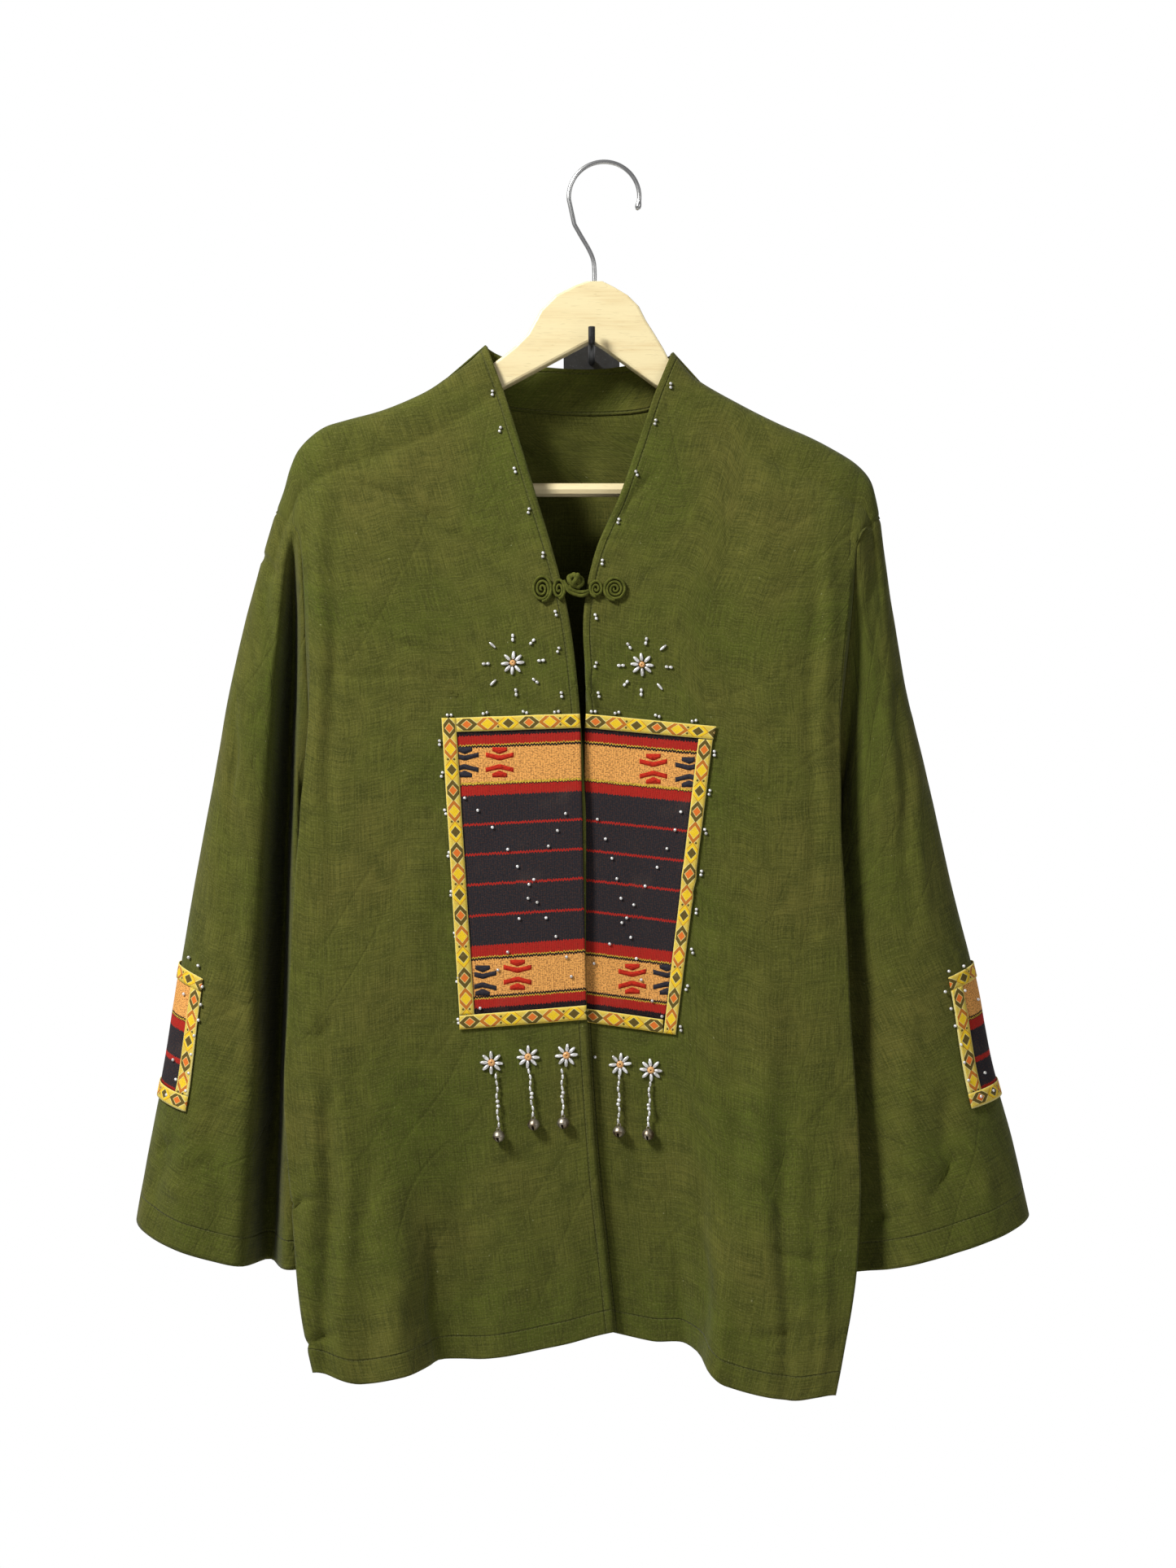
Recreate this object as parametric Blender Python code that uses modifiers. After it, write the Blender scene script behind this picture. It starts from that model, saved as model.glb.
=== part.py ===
"""Embroidered jacket on a wooden hanger, which hangs from a black wall hook.

Sizes are in millimetres. X runs to the right of someone who looks at the jacket, Z runs up, and the wall
is the plane Y = 0, so the jacket's front has the lowest Y. The origin is the middle of the hook's plate,
on the wall.
"""

import math

import bmesh
import bpy
import numpy as np

MM = 0.001

# Driving sizes
CLOTH = 1.6
SEAM_GAP = 0.3
HANGER_Y = -70.0
HANGER_THICK = 14.0
BAR_WIDE = 10.0
BAR_Z = -104.0
HOOK_WIRE = 3.3
ROD_WIDE = 5.0
PLATE = {"wide": 42.0, "tall": 40.0, "thick": 4.0}
RIBBON_THICK = 1.0
PANEL_THICK = 0.8
CORD = 2.8
BELL = {"wide": 8.0, "tall": 8.0, "wall": 0.9}
STRAND_WIDE = 3.0

# Colours, as roughness and metallic value after red, green and blue
FINISHES = {
    "green_cotton": (0.085, 0.09, 0.022, 0.95, 0.0),
    "woven_stripe": (0.07, 0.03, 0.025, 0.9, 0.0),
    "ribbon": (0.52, 0.38, 0.1, 0.8, 0.0),
    "pine": (0.72, 0.55, 0.29, 0.5, 0.0),
    "steel": (0.55, 0.55, 0.54, 0.3, 1.0),
    "black_paint": (0.01, 0.01, 0.011, 0.45, 0.0),
    "glass_beads": (0.55, 0.52, 0.45, 0.3, 0.0),
    "bell_metal": (0.33, 0.28, 0.2, 0.4, 1.0),
}

# Rows of the fronts, from the collar's peak to the hem. Row 7 is the bottom of the armhole.
# Columns: the open edge, then the fold at the body's side, then the armhole or side seam, each as x, z, y
UNDERARM = 7
FRONT = {
    "left": (
        (-76, 0, -70, -209, -74, -70, -227, -121, -70),
        (-64, -32, -82, -207, -108, -92, -218, -128, -88),
        (-51, -73, -89, -204, -138, -100, -209, -138, -97),
        (-39, -113, -95, -201, -175, -105, -205, -178, -96),
        (-27, -153, -100, -200, -217, -109, -203, -222, -95),
        (-16, -199, -105, -199, -263, -112, -201, -268, -92),
        (-9, -257, -110, -202, -305, -115, -199, -311, -84),
        (-5, -320, -113, -205, -332, -117, -197, -332, -70),
        (-4, -345, -114, -206, -350, -118, -187, -338, -70),
        (-4, -392, -116, -210, -402, -120, -175, -388, -76),
        (-4, -456, -118, -213, -474, -124, -164, -458, -80),
        (-1, -520, -119, -215, -542, -128, -157, -530, -82),
        (4, -589, -118, -210, -604, -134, -150, -600, -84),
        (10, -647, -116, -202, -668, -142, -145, -668, -84),
        (16, -703, -114, -191, -723, -150, -142, -733, -84),
    ),
    "right": (
        (58, -5, -70, 192, -88, -70, 207, -125, -70),
        (46, -34, -82, 188, -117, -92, 200, -131, -88),
        (33, -73, -89, 184, -146, -100, 190, -141, -97),
        (19, -113, -95, 183, -182, -105, 186, -182, -96),
        (2, -153, -99, 180, -217, -109, 182, -224, -95),
        (-6, -199, -102, 176, -263, -112, 177, -268, -92),
        (-4, -257, -105, 175, -305, -115, 172, -311, -84),
        (-9, -320, -107, 175, -332, -117, 168, -332, -70),
        (-8, -345, -108, 175, -350, -118, 158, -338, -70),
        (-8, -392, -109, 178, -402, -120, 150, -388, -76),
        (-8, -456, -111, 181, -474, -124, 143, -458, -80),
        (-5, -520, -112, 185, -542, -128, 141, -530, -82),
        (0, -589, -111, 187, -604, -134, 135, -600, -84),
        (6, -647, -109, 182, -668, -142, 130, -668, -84),
        (12, -704, -107, 168, -739, -150, 128, -741, -84),
    ),
}
# Row numbers at which the walls have points, closer where the cloth turns over the hanger
ROWS = (0, 0.1, 0.25, 0.55, 1, 1.5, 2, 2.5, 3, 4, 5, 6, 6.6, 7, 8, 9, 10, 11, 12, 12.6, 13.3, 14)
# Across a front: 0 is the open edge, NECK_POINT the end of the shoulder seam, 1 the side fold, 2 the seam
NECK_POINT = 0.2
ACROSS = (0, 0.1, NECK_POINT, 0.32, 0.44, 0.56, 0.67, 0.78, 0.88, 0.96, 1, 1.1, 1.25, 1.5, 1.75, 2)
# The top edge over the hanger: x, z at the same numbers across, then down the dropped shoulder
SHOULDER = {
    "left": (
        (0.0, -76, 0),
        (0.1, -87, -11),
        (0.2, -104, -24),
        (0.34, -121, -35),
        (0.55, -149, -47),
        (0.76, -177, -55),
        (0.89, -194, -61),
        (1.0, -209, -74),
        (1.33, -216, -88),
        (1.66, -221, -105),
        (2.0, -227, -121),
    ),
    "right": (
        (0.0, 58, -5),
        (0.1, 66, -15),
        (0.2, 78, -27),
        (0.38, 108, -44),
        (0.57, 134, -57),
        (0.76, 159, -68),
        (0.9, 179, -79),
        (1.0, 192, -88),
        (1.33, 200, -98),
        (1.66, 204, -111),
        (2.0, 207, -125),
    ),
}
SHOULDER_ROWS = 2.5
# How far the body and the sleeves are cut back from the armhole's seam: row numbers, then amounts
ARMHOLE_TRIM = ((0, 0.8, 2), (0.5, 0.7, 1.6))
SLEEVE_TRIM = ((0, 0.8, 2), (0.5, 0.7, 2.5))
# The hem: how far each front's lowest edge drops below a straight line, at numbers across
HEM_DROP = {
    "left": ((0, 0), (0.2, 6), (0.43, 10), (0.6, 7), (0.85, 11), (1, 0)),
    "right": ((0, 0), (0.2, 0), (0.36, -4), (0.5, 10), (0.8, 10), (1, 0)),
}
# Where the deep flute of each front begins at the hem, across, and how far the side fold rolls back
FLUTE_AT = {"left": 0.63, "right": 0.41}
FLUTE_SOFT = 0.14
FOLD_ROLL = 2.5
# Rows of the back, at the same row numbers: z and y at the middle, y at its side folds
BACK = (
    (-45, -45, -70),
    (-78, -40, -50),
    (-108, -36, -38),
    (-142, -33, -34),
    (-182, -31, -32),
    (-230, -29, -31),
    (-283, -28, -30),
    (-324, -27, -27),
    (-342, -27, -27),
    (-394, -27, -24),
    (-462, -26, -24),
    (-530, -26, -24),
    (-596, -26, -24),
    (-656, -26, -24),
    (-712, -26, -24),
)
# How far inside the fronts' side folds the back's lie, at row numbers: below the armhole they are outside
BACK_FOLD_IN = ((0, 0), (1, 6), (7, 6), (9, -9), (14, -9))
# The back neck from left to right: its seam to the back, then the top edge of the collar, each as x, z, y
NECK = (
    (-104, -24, -70, -76, 0, -70),
    (-101, -26, -60, -73, -1.5, -60),
    (-84, -36, -55, -62, -6, -55),
    (-60, -43, -50, -44, -10, -49),
    (-18, -46, -45, -18, -12, -44.5),
    (14, -46, -45, 8, -12, -44.5),
    (40, -44, -50, 28, -10, -49),
    (60, -37, -55, 45, -8, -55),
    (75, -29, -60, 55, -6, -60),
    (78, -27, -70, 58, -5, -70),
)
NECK_AT = (0, 1, 1.6, 2.3, 3, 3.7, 4.5, 5.3, 6, 6.7, 7.4, 8, 9)
COLLAR_STEPS = 3
# Sections of the sleeves from the armhole to the cuff: the outer edge and the inner edge as x, z,
# then the middle in depth, half the depth, and the depth of the valley beside the body
SLEEVE = {
    "left": (
        (-227, -121, -197, -332, -70, 27, 0),
        (-236, -150, -206, -335, -70, 26, 5),
        (-249, -197, -206, -350, -71, 28, 12),
        (-262, -256, -204, -378, -72, 32, 17),
        (-273, -326, -202, -412, -72, 35, 20),
        (-286, -397, -200, -450, -73, 37, 22),
        (-296, -456, -198, -492, -74, 39, 22),
        (-305, -514, -196, -540, -76, 42, 20),
        (-316, -573, -195, -598, -78, 44, 16),
        (-325, -626, -194, -655, -80, 46, 10),
    ),
    "right": (
        (207, -125, 168, -332, -70, 27, 0),
        (211, -156, 177, -335, -70, 25, 0),
        (217, -197, 176, -350, -71, 28, 2),
        (227, -256, 175, -378, -72, 32, 3),
        (244, -326, 174, -412, -72, 35, 4),
        (260, -397, 174, -450, -73, 37, 5),
        (275, -456, 175, -492, -74, 39, 6),
        (286, -514, 174, -540, -76, 42, 6),
        (302, -573, 174, -600, -78, 44, 6),
        (313, -623, 175, -662, -80, 46, 6),
    ),
}
VALLEY_AT = {"left": 0.8, "right": 0.86}
VALLEY_SOFT = 0.09
CUFF_DROP = {"left": 12.0, "right": 6.0}
SLEEVE_ROWS = (0, 0.35, 0.9, 1.6, 2.5, 3.5, 4.6, 5.8, 6.6, 7.4, 8.2, 9)
# Where the woven band wraps each sleeve: section numbers of its ribbons' outer edges, points round it
BAND = {"top": 5.8, "bottom": 7.4, "points": 4, "ribbon_rows": 0.17, "ribbon_points": 0.9}

# Corners of the skins on the fronts, as x, z: top left, top right, bottom right, bottom left
FRONT_SKINS = {
    "left": {
        "ribbon_side": ((-106, -270), (-96, -270), (-82.5, -478), (-93, -478.9)),
        "ribbon_top": ((-95.6, -270), (-11, -267), (-11, -277), (-95, -280)),
        "ribbon_bottom": ((-93, -479.4), (-7, -472), (-7, -482), (-93, -489)),
        "woven_panel": ((-94.8, -280.4), (-11, -277.4), (-7, -471.6), (-82.1, -478)),
    },
    "right": {
        "ribbon_top": ((-2, -267), (88, -276), (86, -285), (-2, -277)),
        "ribbon_side": ((75.5, -284.6), (85.5, -285.5), (59.5, -493), (51, -492)),
        "ribbon_bottom": ((-2, -475), (50, -482.5), (50, -492), (-2, -484.5)),
        "woven_panel": ((-2, -277.4), (75.1, -284.6), (51, -482.1), (-2, -474.6)),
    },
}
# Coils of the frog on the fronts: middle x and z, half width and half height, turns of cord
FROG_COILS = {
    "frog_coil_1": ("left", -36.5, -178, 6.0, 8.6, 3),
    "frog_coil_2": ("left", -26.2, -179, 3.7, 6.4, 2),
    "frog_coil_3": ("right", 3.9, -178, 4.4, 5.8, 2),
    "frog_coil_4": ("right", 16.5, -178, 7.6, 7.6, 3),
}
COIL_POINTS = 16
COIL_GROOVE = 0.62
KNOT = {"x": -12.0, "z": -173.0, "half_wide": 6.2, "half_deep": 4.6}
LOOP = {"x": -11.4, "half_wide": 8.9, "half_high": 8.2, "angle": 1.25}
# The bead strands: side, x and z of the sewn end, x and z of the bell's lowest point
STRANDS = (
    ("left", -67, -519, -65, -567),
    ("left", -44, -516, -41, -559),
    ("left", -21, -516, -20, -558),
    ("right", 19, -521, 19, -565),
    ("right", 41, -526, 40, -567),
)

# The hanger: its hump from left to right, then its underside, as x, z
HUMP = (
    (-71, -13),
    (-64, -8),
    (-54, 0),
    (-47, 7),
    (-42, 16),
    (-37, 25),
    (-26, 36),
    (-12, 43),
    (-4, 46),
    (8, 46),
    (16, 42),
    (26, 36),
    (34, 28),
    (39, 18),
    (46, 7),
    (52, -3),
    (55, -9),
)
UNDERSIDE = (
    (190, -112),
    (182, -118),
    (170, -116),
    (166, -108),
    (166, -97),
    (150, -90),
    (110, -68),
    (46, -29),
    (10, -3),
    (0, 3.2),
    (-10, -2),
    (-64, -31),
    (-120, -60),
    (-160, -79),
    (-180, -91),
    (-180, -106),
    (-184, -115),
    (-196, -118),
    (-205, -110),
)
WOOD_BELOW_CLOTH = 2.1
WOOD_BELOW_COLLAR = 4.0
WOOD_SHORT = 3.0
WOOD_ROUND = 4.0
# The wire hook: a round of this radius about this middle, then its bends down to the wood, as x, z
HOOK_ROUND = {"x": 9.0, "z": 108.0, "radius": 25.5, "from": -0.38, "to": 3.55}
HOOK_FOOT = ((-14, 92), (-9, 82), (-2, 70), (1.2, 62), (2, 54), (2, 46.3))
ROD_TIP = {"y": -87.0, "z": 11.0}


def smooth(table, at):
    """A table's rows as one smooth curve, read at a row number."""
    rows = np.asarray(table, float)
    last = len(rows) - 1
    i = min(int(at), last - 1)
    part = at - i
    before, start, end, after = (rows[min(max(k, 0), last)] for k in (i - 1, i, i + 1, i + 2))
    slope_in = (end - before) / 2
    slope_out = (after - start) / 2
    square, cube = part**2, part**3
    return (
        (2 * cube - 3 * square + 1) * start
        + (cube - 2 * square + part) * slope_in
        + (3 * square - 2 * cube) * end
        + (cube - square) * slope_out
    )


def read(table, at):
    """Values of a table whose first column is a number, read between its rows."""
    rows = np.asarray(table, float)
    return np.array([np.interp(at, rows[:, 0], column) for column in rows[:, 1:].T])


def ease(part):
    part = min(max(part, 0.0), 1.0)
    return part * part * (3 - 2 * part)


def over_hanger(top, below, row):
    """The cloth's turn over the hanger, from its top edge to the first row below: out first, then down."""
    down = (1 - math.cos(row * math.pi / 2)) ** 1.2
    out = math.sin(row * math.pi / 2) ** 0.7
    return top + (below - top) * np.array([down, out, down])


def shoulder_share(row):
    """How much of the shoulder's own line is left at a row."""
    return max(0, 1 - (row / SHOULDER_ROWS) ** 2) ** 2


def shoulder_point(side, across):
    x, z = read(SHOULDER[side], across)
    return np.array([x, HANGER_Y, z])


def tucked(turn):
    """How far out the cloth still is, between a side fold, turn 0, and the seam tucked in behind it."""
    return (1 - turn**1.3) ** 3


def front_base(side, row, across):
    """A point of a front before the shoulder's own line is added."""
    numbers = smooth(FRONT[side], row)
    inner, fold, seam = (numbers[k : k + 3][[0, 2, 1]] for k in (0, 3, 6))
    roll = FOLD_ROLL * min(row, 1)
    if across <= 1:
        point = inner + (fold - inner) * across
        down = row / (len(FRONT[side]) - 1)
        middle = 0.5 + (FLUTE_AT[side] - 0.5) * down
        width = 1 + (FLUTE_SOFT - 1) * down**1.5
        point[1] = inner[1] + (fold[1] - inner[1]) * ease((across - middle) / width + 0.5)
        point[1] += roll * max(0, (across - 0.88) / 0.12) ** 2
        point[2] -= read(HEM_DROP[side], across)[0] * max(0, (row - 12) / 2) ** 2
        return point
    turn = across - 1
    point = fold + (seam - fold) * turn
    point[0] = seam[0] + (fold[0] - seam[0]) * tucked(turn)
    point[1] += roll * (1 - turn)
    return point


def front_sheet(side):
    """The middle of a front's cloth, as rows of points from the open edge to the armhole and side seam."""
    sheet = np.zeros((len(ROWS), len(ACROSS), 3))
    for j, across in enumerate(ACROSS):
        top = shoulder_point(side, across)
        from_base = top - front_base(side, 0, across)
        below = front_base(side, 1, across) + from_base * shoulder_share(1)
        for i, row in enumerate(ROWS):
            if row < 1:
                sheet[i, j] = over_hanger(top, below, row)
            else:
                sheet[i, j] = front_base(side, row, across) + from_base * shoulder_share(row)
    return sheet


def neck_points(step):
    """The seam's point and the top edge's point of the back collar at one of its steps."""
    numbers = smooth(NECK, NECK_AT[step])
    return numbers[[0, 2, 1]], numbers[[3, 5, 4]]


def back_fold(side, row):
    """The back's side fold: it lies behind the front's, a little further in."""
    x, z = smooth(FRONT[side], row)[3:5]
    inward = read(BACK_FOLD_IN, row)[0]
    y = smooth(BACK, row)[2]
    return np.array([x + inward if side == "left" else x - inward, y, z])


def back_seam(side, row):
    """The back's edge: the armhole mirrored about the hanger's plane, then the side seam of the front."""
    x, z, y = smooth(FRONT[side], row)[6:9]
    if row < UNDERARM:
        y = 2 * HANGER_Y - y
    return np.array([x, y, z])


def back_edge(side, row, turn):
    """A point of the back between its side fold, turn 0, and its edge, turn 1."""
    fold, seam = back_fold(side, row), back_seam(side, row)
    point = fold + (seam - fold) * turn
    point[0] = seam[0] + (fold[0] - seam[0]) * tucked(turn)
    return point


def back_base(row, share):
    """A point of the back between its side folds, share 0 at the left one and 1 at the right one."""
    left, right = back_fold("left", row), back_fold("right", row)
    point = left + (right - left) * share
    middle_z, middle_y, _ = smooth(BACK, row)
    away = abs(2 * share - 1)
    point[2] = middle_z + (point[2] - middle_z) * away**1.5
    point[1] = middle_y + (point[1] - middle_y) * away**2
    return point


def back_columns():
    """The back's columns from left to right: (side, number across) at its edges, or the top point."""
    left = [("left", a, shoulder_point("left", a)) for a in reversed(ACROSS) if a >= NECK_POINT]
    neck = [("", 0, neck_points(k)[0]) for k in range(1, len(NECK_AT) - 1)]
    right = [("right", a, shoulder_point("right", a)) for a in ACROSS if a >= NECK_POINT]
    return left + neck + right


def back_sheet():
    columns = back_columns()
    shoulders = sum(a >= NECK_POINT for a in ACROSS)
    left, right = back_fold("left", 0)[0], back_fold("right", 0)[0]
    sheet = np.zeros((len(ROWS), len(columns), 3))
    for j, (side, across, top) in enumerate(columns):
        share = (top[0] - left) / (right - left)
        base = [back_edge(side, r, across - 1) if across > 1 else back_base(r, share) for r in ROWS]
        from_base = top - base[0]
        hanging = 0 if side else math.sin(math.pi * (j - shoulders + 1) / (len(NECK_AT) - 1))
        below = base[ROWS.index(1)] + from_base * shoulder_share(1)
        for i, row in enumerate(ROWS):
            if row >= 1:
                sheet[i, j] = base[i] + from_base * shoulder_share(row)
            else:
                turning = over_hanger(top, below, row)
                sheet[i, j] = turning + (top + (below - top) * row - turning) * hanging
    return sheet


def collar_sheet():
    """The back collar's strip, rows from its top edge down to its seam."""
    sheet = np.zeros((COLLAR_STEPS + 1, len(NECK_AT), 3))
    for j in range(len(NECK_AT)):
        seam, top = neck_points(j)
        for i in range(COLLAR_STEPS + 1):
            sheet[i, j] = top + (seam - top) * i / COLLAR_STEPS
    return sheet


def sleeve_oval(side, row, angle):
    """A plain section of a sleeve: angle 0 at its outer edge, half a turn at its inner edge, front first."""
    outer_x, outer_z, inner_x, inner_z, middle_y, deep, valley = smooth(SLEEVE[side], row)
    along = (1 - math.cos(angle)) / 2
    front = math.sin(angle)
    depth = deep * math.copysign(abs(front) ** 0.75, front)
    if front > 0:
        depth -= valley * math.exp(-(((along - VALLEY_AT[side]) / VALLEY_SOFT) ** 2))
    drop = CUFF_DROP[side] * abs(front) * (row / (len(SLEEVE[side]) - 1)) ** 4
    x = outer_x + (inner_x - outer_x) * along
    z = outer_z + (inner_z - outer_z) * along
    return np.array([x, middle_y - depth, z - drop])


def sleeve_sheet(side, front, back):
    """A sleeve as rings of points, from the armhole that the front and the back leave."""
    last = ROWS.index(UNDERARM)
    front_edge = front[: last + 1, -1]
    back_edge = back[: last + 1, 0 if side == "left" else -1]
    hole = np.concatenate([front_edge, back_edge[-2:0:-1]])
    lengths = np.linalg.norm(np.diff(front_edge, axis=0), axis=1)
    shares = np.concatenate([[0], np.cumsum(lengths)]) / lengths.sum()
    hole_angles = np.concatenate([shares * math.pi, 2 * math.pi - shares[-2:0:-1] * math.pi])
    even = np.arange(len(hole)) * 2 * math.pi / len(hole)
    sheet = np.zeros((len(SLEEVE_ROWS), len(hole), 3))
    for i, row in enumerate(SLEEVE_ROWS):
        settled = ease(row / 2.5)
        angles = hole_angles + (even - hole_angles) * settled
        for k, angle in enumerate(angles):
            from_oval = hole[k] - sleeve_oval(side, 0, hole_angles[k])
            sheet[i, k] = sleeve_oval(side, row, angle) + from_oval * (1 - settled)
    return sheet


def trim(sheet, edge, amount, first=0, end=None):
    """Draws one edge of a sheet back from its seam, towards the next points."""
    axis, at, towards = {
        "top": (0, 0, 1),
        "bottom": (0, -1, -2),
        "start": (1, 0, 1),
        "finish": (1, -1, -2),
    }[edge]
    line = (at, slice(first, end)) if axis == 0 else (slice(first, end), at)
    inner = (towards, slice(first, end)) if axis == 0 else (slice(first, end), towards)
    way = sheet[inner] - sheet[line]
    sheet[line] += way / np.linalg.norm(way, axis=-1, keepdims=True) * np.reshape(amount, (-1, 1))


def material(name):
    made = bpy.data.materials.get(name)
    if made:
        return made
    made = bpy.data.materials.new(name)
    made.use_nodes = True
    red, green, blue, roughness, metallic = FINISHES[name]
    shader = made.node_tree.nodes["Principled BSDF"]
    shader.inputs["Base Color"].default_value = (red, green, blue, 1)
    shader.inputs["Roughness"].default_value = roughness
    shader.inputs["Metallic"].default_value = metallic
    made.diffuse_color = (red, green, blue, 1)
    return made


def add(name, data, finish):
    """An object of this mesh or curve, in the jacket's collection, with its material."""
    data.materials.append(material(finish))
    made = bpy.data.objects.new(name, data)
    jacket.objects.link(made)
    return made


def wall(name, sheet, thickness, finish, closed=False):
    """A cloth wall about a sheet of points: an open loft of its rows, made thick by Solidify."""
    shape = bmesh.new()
    points = [[shape.verts.new(point * MM) for point in row] for row in sheet]
    across = len(points[0])
    for upper, lower in zip(points, points[1:]):
        for j in range(across if closed else across - 1):
            k = (j + 1) % across
            shape.faces.new((upper[j], lower[j], lower[k], upper[k]))
    mesh = bpy.data.meshes.new(name)
    shape.to_mesh(mesh)
    shape.free()
    mesh.shade_smooth()
    made = add(name, mesh, finish)
    thick = made.modifiers.new("thickness", "SOLIDIFY")
    thick.thickness = thickness * MM
    thick.offset = 0
    return made


def at(sheet, row, column):
    """A place on a sheet between its points, and its normal towards the outside."""
    i = min(max(int(row), 0), len(sheet) - 2)
    j = math.floor(column)
    across = len(sheet[0])
    a, b = row - i, column - j
    near = sheet[i : i + 2, [j % across, (j + 1) % across]]
    place = (near[0, 0] * (1 - b) + near[0, 1] * b) * (1 - a) + (near[1, 0] * (1 - b) + near[1, 1] * b) * a
    down = near[1].mean(axis=0) - near[0].mean(axis=0)
    along = near[:, 1].mean(axis=0) - near[:, 0].mean(axis=0)
    normal = np.cross(down, along)
    return place, normal / np.linalg.norm(normal)


def lift(sheet, row, column, height, outward=1, closed=False):
    """A point lifted off a sheet by the mean normal of the places round it."""
    place, _ = at(sheet, row, column)
    spots = [(row + a, column + b) for a in (-0.3, 0.3) for b in (-0.3, 0.3)]
    normal = sum(at(sheet, max(a, 0), b if closed else max(b, 0))[1] for a, b in spots)
    return place + normal / np.linalg.norm(normal) * height * outward


def find(sheet, x, z):
    """The row and column of a front's sheet that lie at x and z in the front view."""
    row, column = 10.0, 4.0
    for _ in range(20):
        here = at(sheet, row, column)[0]
        by_row = (at(sheet, row + 0.01, column)[0] - here) / 0.01
        by_column = (at(sheet, row, column + 0.01)[0] - here) / 0.01
        slopes = np.array([[by_row[0], by_column[0]], [by_row[2], by_column[2]]])
        step = np.linalg.solve(slopes, [x - here[0], z - here[2]])
        row = min(max(row + step[0], 0.0), len(sheet) - 1.001)
        column = min(max(column + step[1], 0.0), 9.9)
    return row, column


def on_front(side, x, z, height):
    """A point this high above a front, at x and z in the front view."""
    row, column = find(fronts[side], x, z)
    return lift(fronts[side], row, column, height, -1 if side == "left" else 1)


def skin_height(thickness):
    return CLOTH / 2 + 1.5 * SEAM_GAP + thickness / 2


def front_skin(name, side, corners, thickness, finish):
    """A woven piece on a front, between its four corners."""
    top_left, top_right, bottom_right, bottom_left = (np.array(c, float) for c in corners)
    wide = np.linalg.norm(top_right - top_left)
    tall = np.linalg.norm(bottom_left - top_left)
    steps_down = max(1, round(tall / 22))
    steps_across = max(1, round(wide / 15))
    sheet = np.zeros((steps_down + 1, steps_across + 1, 3))
    for i in range(steps_down + 1):
        start = top_left + (bottom_left - top_left) * i / steps_down
        end = top_right + (bottom_right - top_right) * i / steps_down
        for j in range(steps_across + 1):
            x, z = start + (end - start) * j / steps_across
            sheet[i, j] = on_front(side, x, z, skin_height(thickness))
    wall(name, sheet, thickness, finish)


def sleeve_skin(name, side, rows, columns, thickness, finish):
    """A woven piece round the outer edge of a sleeve, between two rows and two points of its rings."""
    outward = 1 if side == "left" else -1
    between = [c for c in range(-6, 7) if columns[0] < c < columns[1]]
    lines = [columns[0], *between, columns[1]]
    first, last = (read(tuple(zip(SLEEVE_ROWS, range(len(SLEEVE_ROWS)))), r)[0] for r in rows)
    steps = [first, *[r for r in range(len(SLEEVE_ROWS)) if first < r < last], last]
    sheet = np.array(
        [[lift(sleeves[side], r, c, skin_height(thickness), outward, True) for c in lines] for r in steps]
    )
    wall(name, sheet, thickness, finish)


def tube(name, points, width, finish, round_steps=2, widths=None, place=(0, 0, 0)):
    """A round cord, wire or rod along these points."""
    data = bpy.data.curves.new(name, "CURVE")
    data.dimensions = "3D"
    data.bevel_depth = width / 2 * MM
    data.bevel_resolution = round_steps
    data.use_fill_caps = True
    line = data.splines.new("POLY")
    line.points.add(len(points) - 1)
    for k, (spot, point) in enumerate(zip(line.points, points)):
        spot.co = (*((np.asarray(point, float) - place) * MM), 1)
        spot.radius = 1 if widths is None else widths[k]
    made = add(name, data, finish)
    made.location = np.asarray(place, float) * MM
    return made


def coil(name, side, middle, half, turns, finish):
    """A disc of coiled cord on a front: a ridge for each turn of the cord, from the rim to the middle."""
    profile = [(0.94, 0), (1, 0.45)]
    for turn in range(turns):
        profile += [(1 - (turn + 0.5) / turns, 1), (1 - (turn + 1) / turns, COIL_GROOVE)]
    base = CLOTH / 2 + SEAM_GAP
    corners = [on_front(side, *middle, base), on_front(side, *middle, base + CORD * COIL_GROOVE)]
    for share, height in profile[:-1]:
        for k in range(COIL_POINTS):
            angle = 2 * math.pi * k / COIL_POINTS
            x = middle[0] + half[0] * share * math.sin(angle)
            z = middle[1] + half[1] * share * math.cos(angle)
            corners.append(on_front(side, x, z, base + CORD * height))
    faces = []
    last = 2 + (len(profile) - 2) * COIL_POINTS
    for k in range(COIL_POINTS):
        after = (k + 1) % COIL_POINTS
        faces.append((0, 2 + k, 2 + after))
        faces.append((1, last + after, last + k))
        for ring in range(2, last, COIL_POINTS):
            faces.append((ring + k, ring + k + COIL_POINTS, ring + after + COIL_POINTS, ring + after))
    data = bpy.data.meshes.new(name)
    data.from_pydata((np.array(corners) * MM).tolist(), [], faces)
    return add(name, data, finish)


def outline(name, points, thickness, middle_y, bevel, finish):
    """A flat board in the plane of the wall, from its outline, with rounded edges."""
    data = bpy.data.curves.new(name, "CURVE")
    data.dimensions = "2D"
    data.fill_mode = "BOTH"
    line = data.splines.new("POLY")
    line.use_cyclic_u = True
    line.points.add(len(points) - 1)
    for spot, (x, z) in zip(line.points, points):
        spot.co = (x * MM, z * MM, 0, 1)
    data.extrude = thickness / 2 * MM
    made = add(name, data, finish)
    made.rotation_euler.x = math.pi / 2
    made.location.y = middle_y * MM
    merge = made.modifiers.new("merge", "WELD")
    merge.merge_threshold = 0.00001
    edge = made.modifiers.new("edge", "BEVEL")
    edge.width = bevel * MM
    edge.segments = 2
    edge.angle_limit = math.radians(60)
    return made


for old in list(bpy.data.objects):
    bpy.data.objects.remove(old)
jacket = bpy.data.collections.new("Embroidered jacket")
bpy.context.scene.collection.children.link(jacket)

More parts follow.
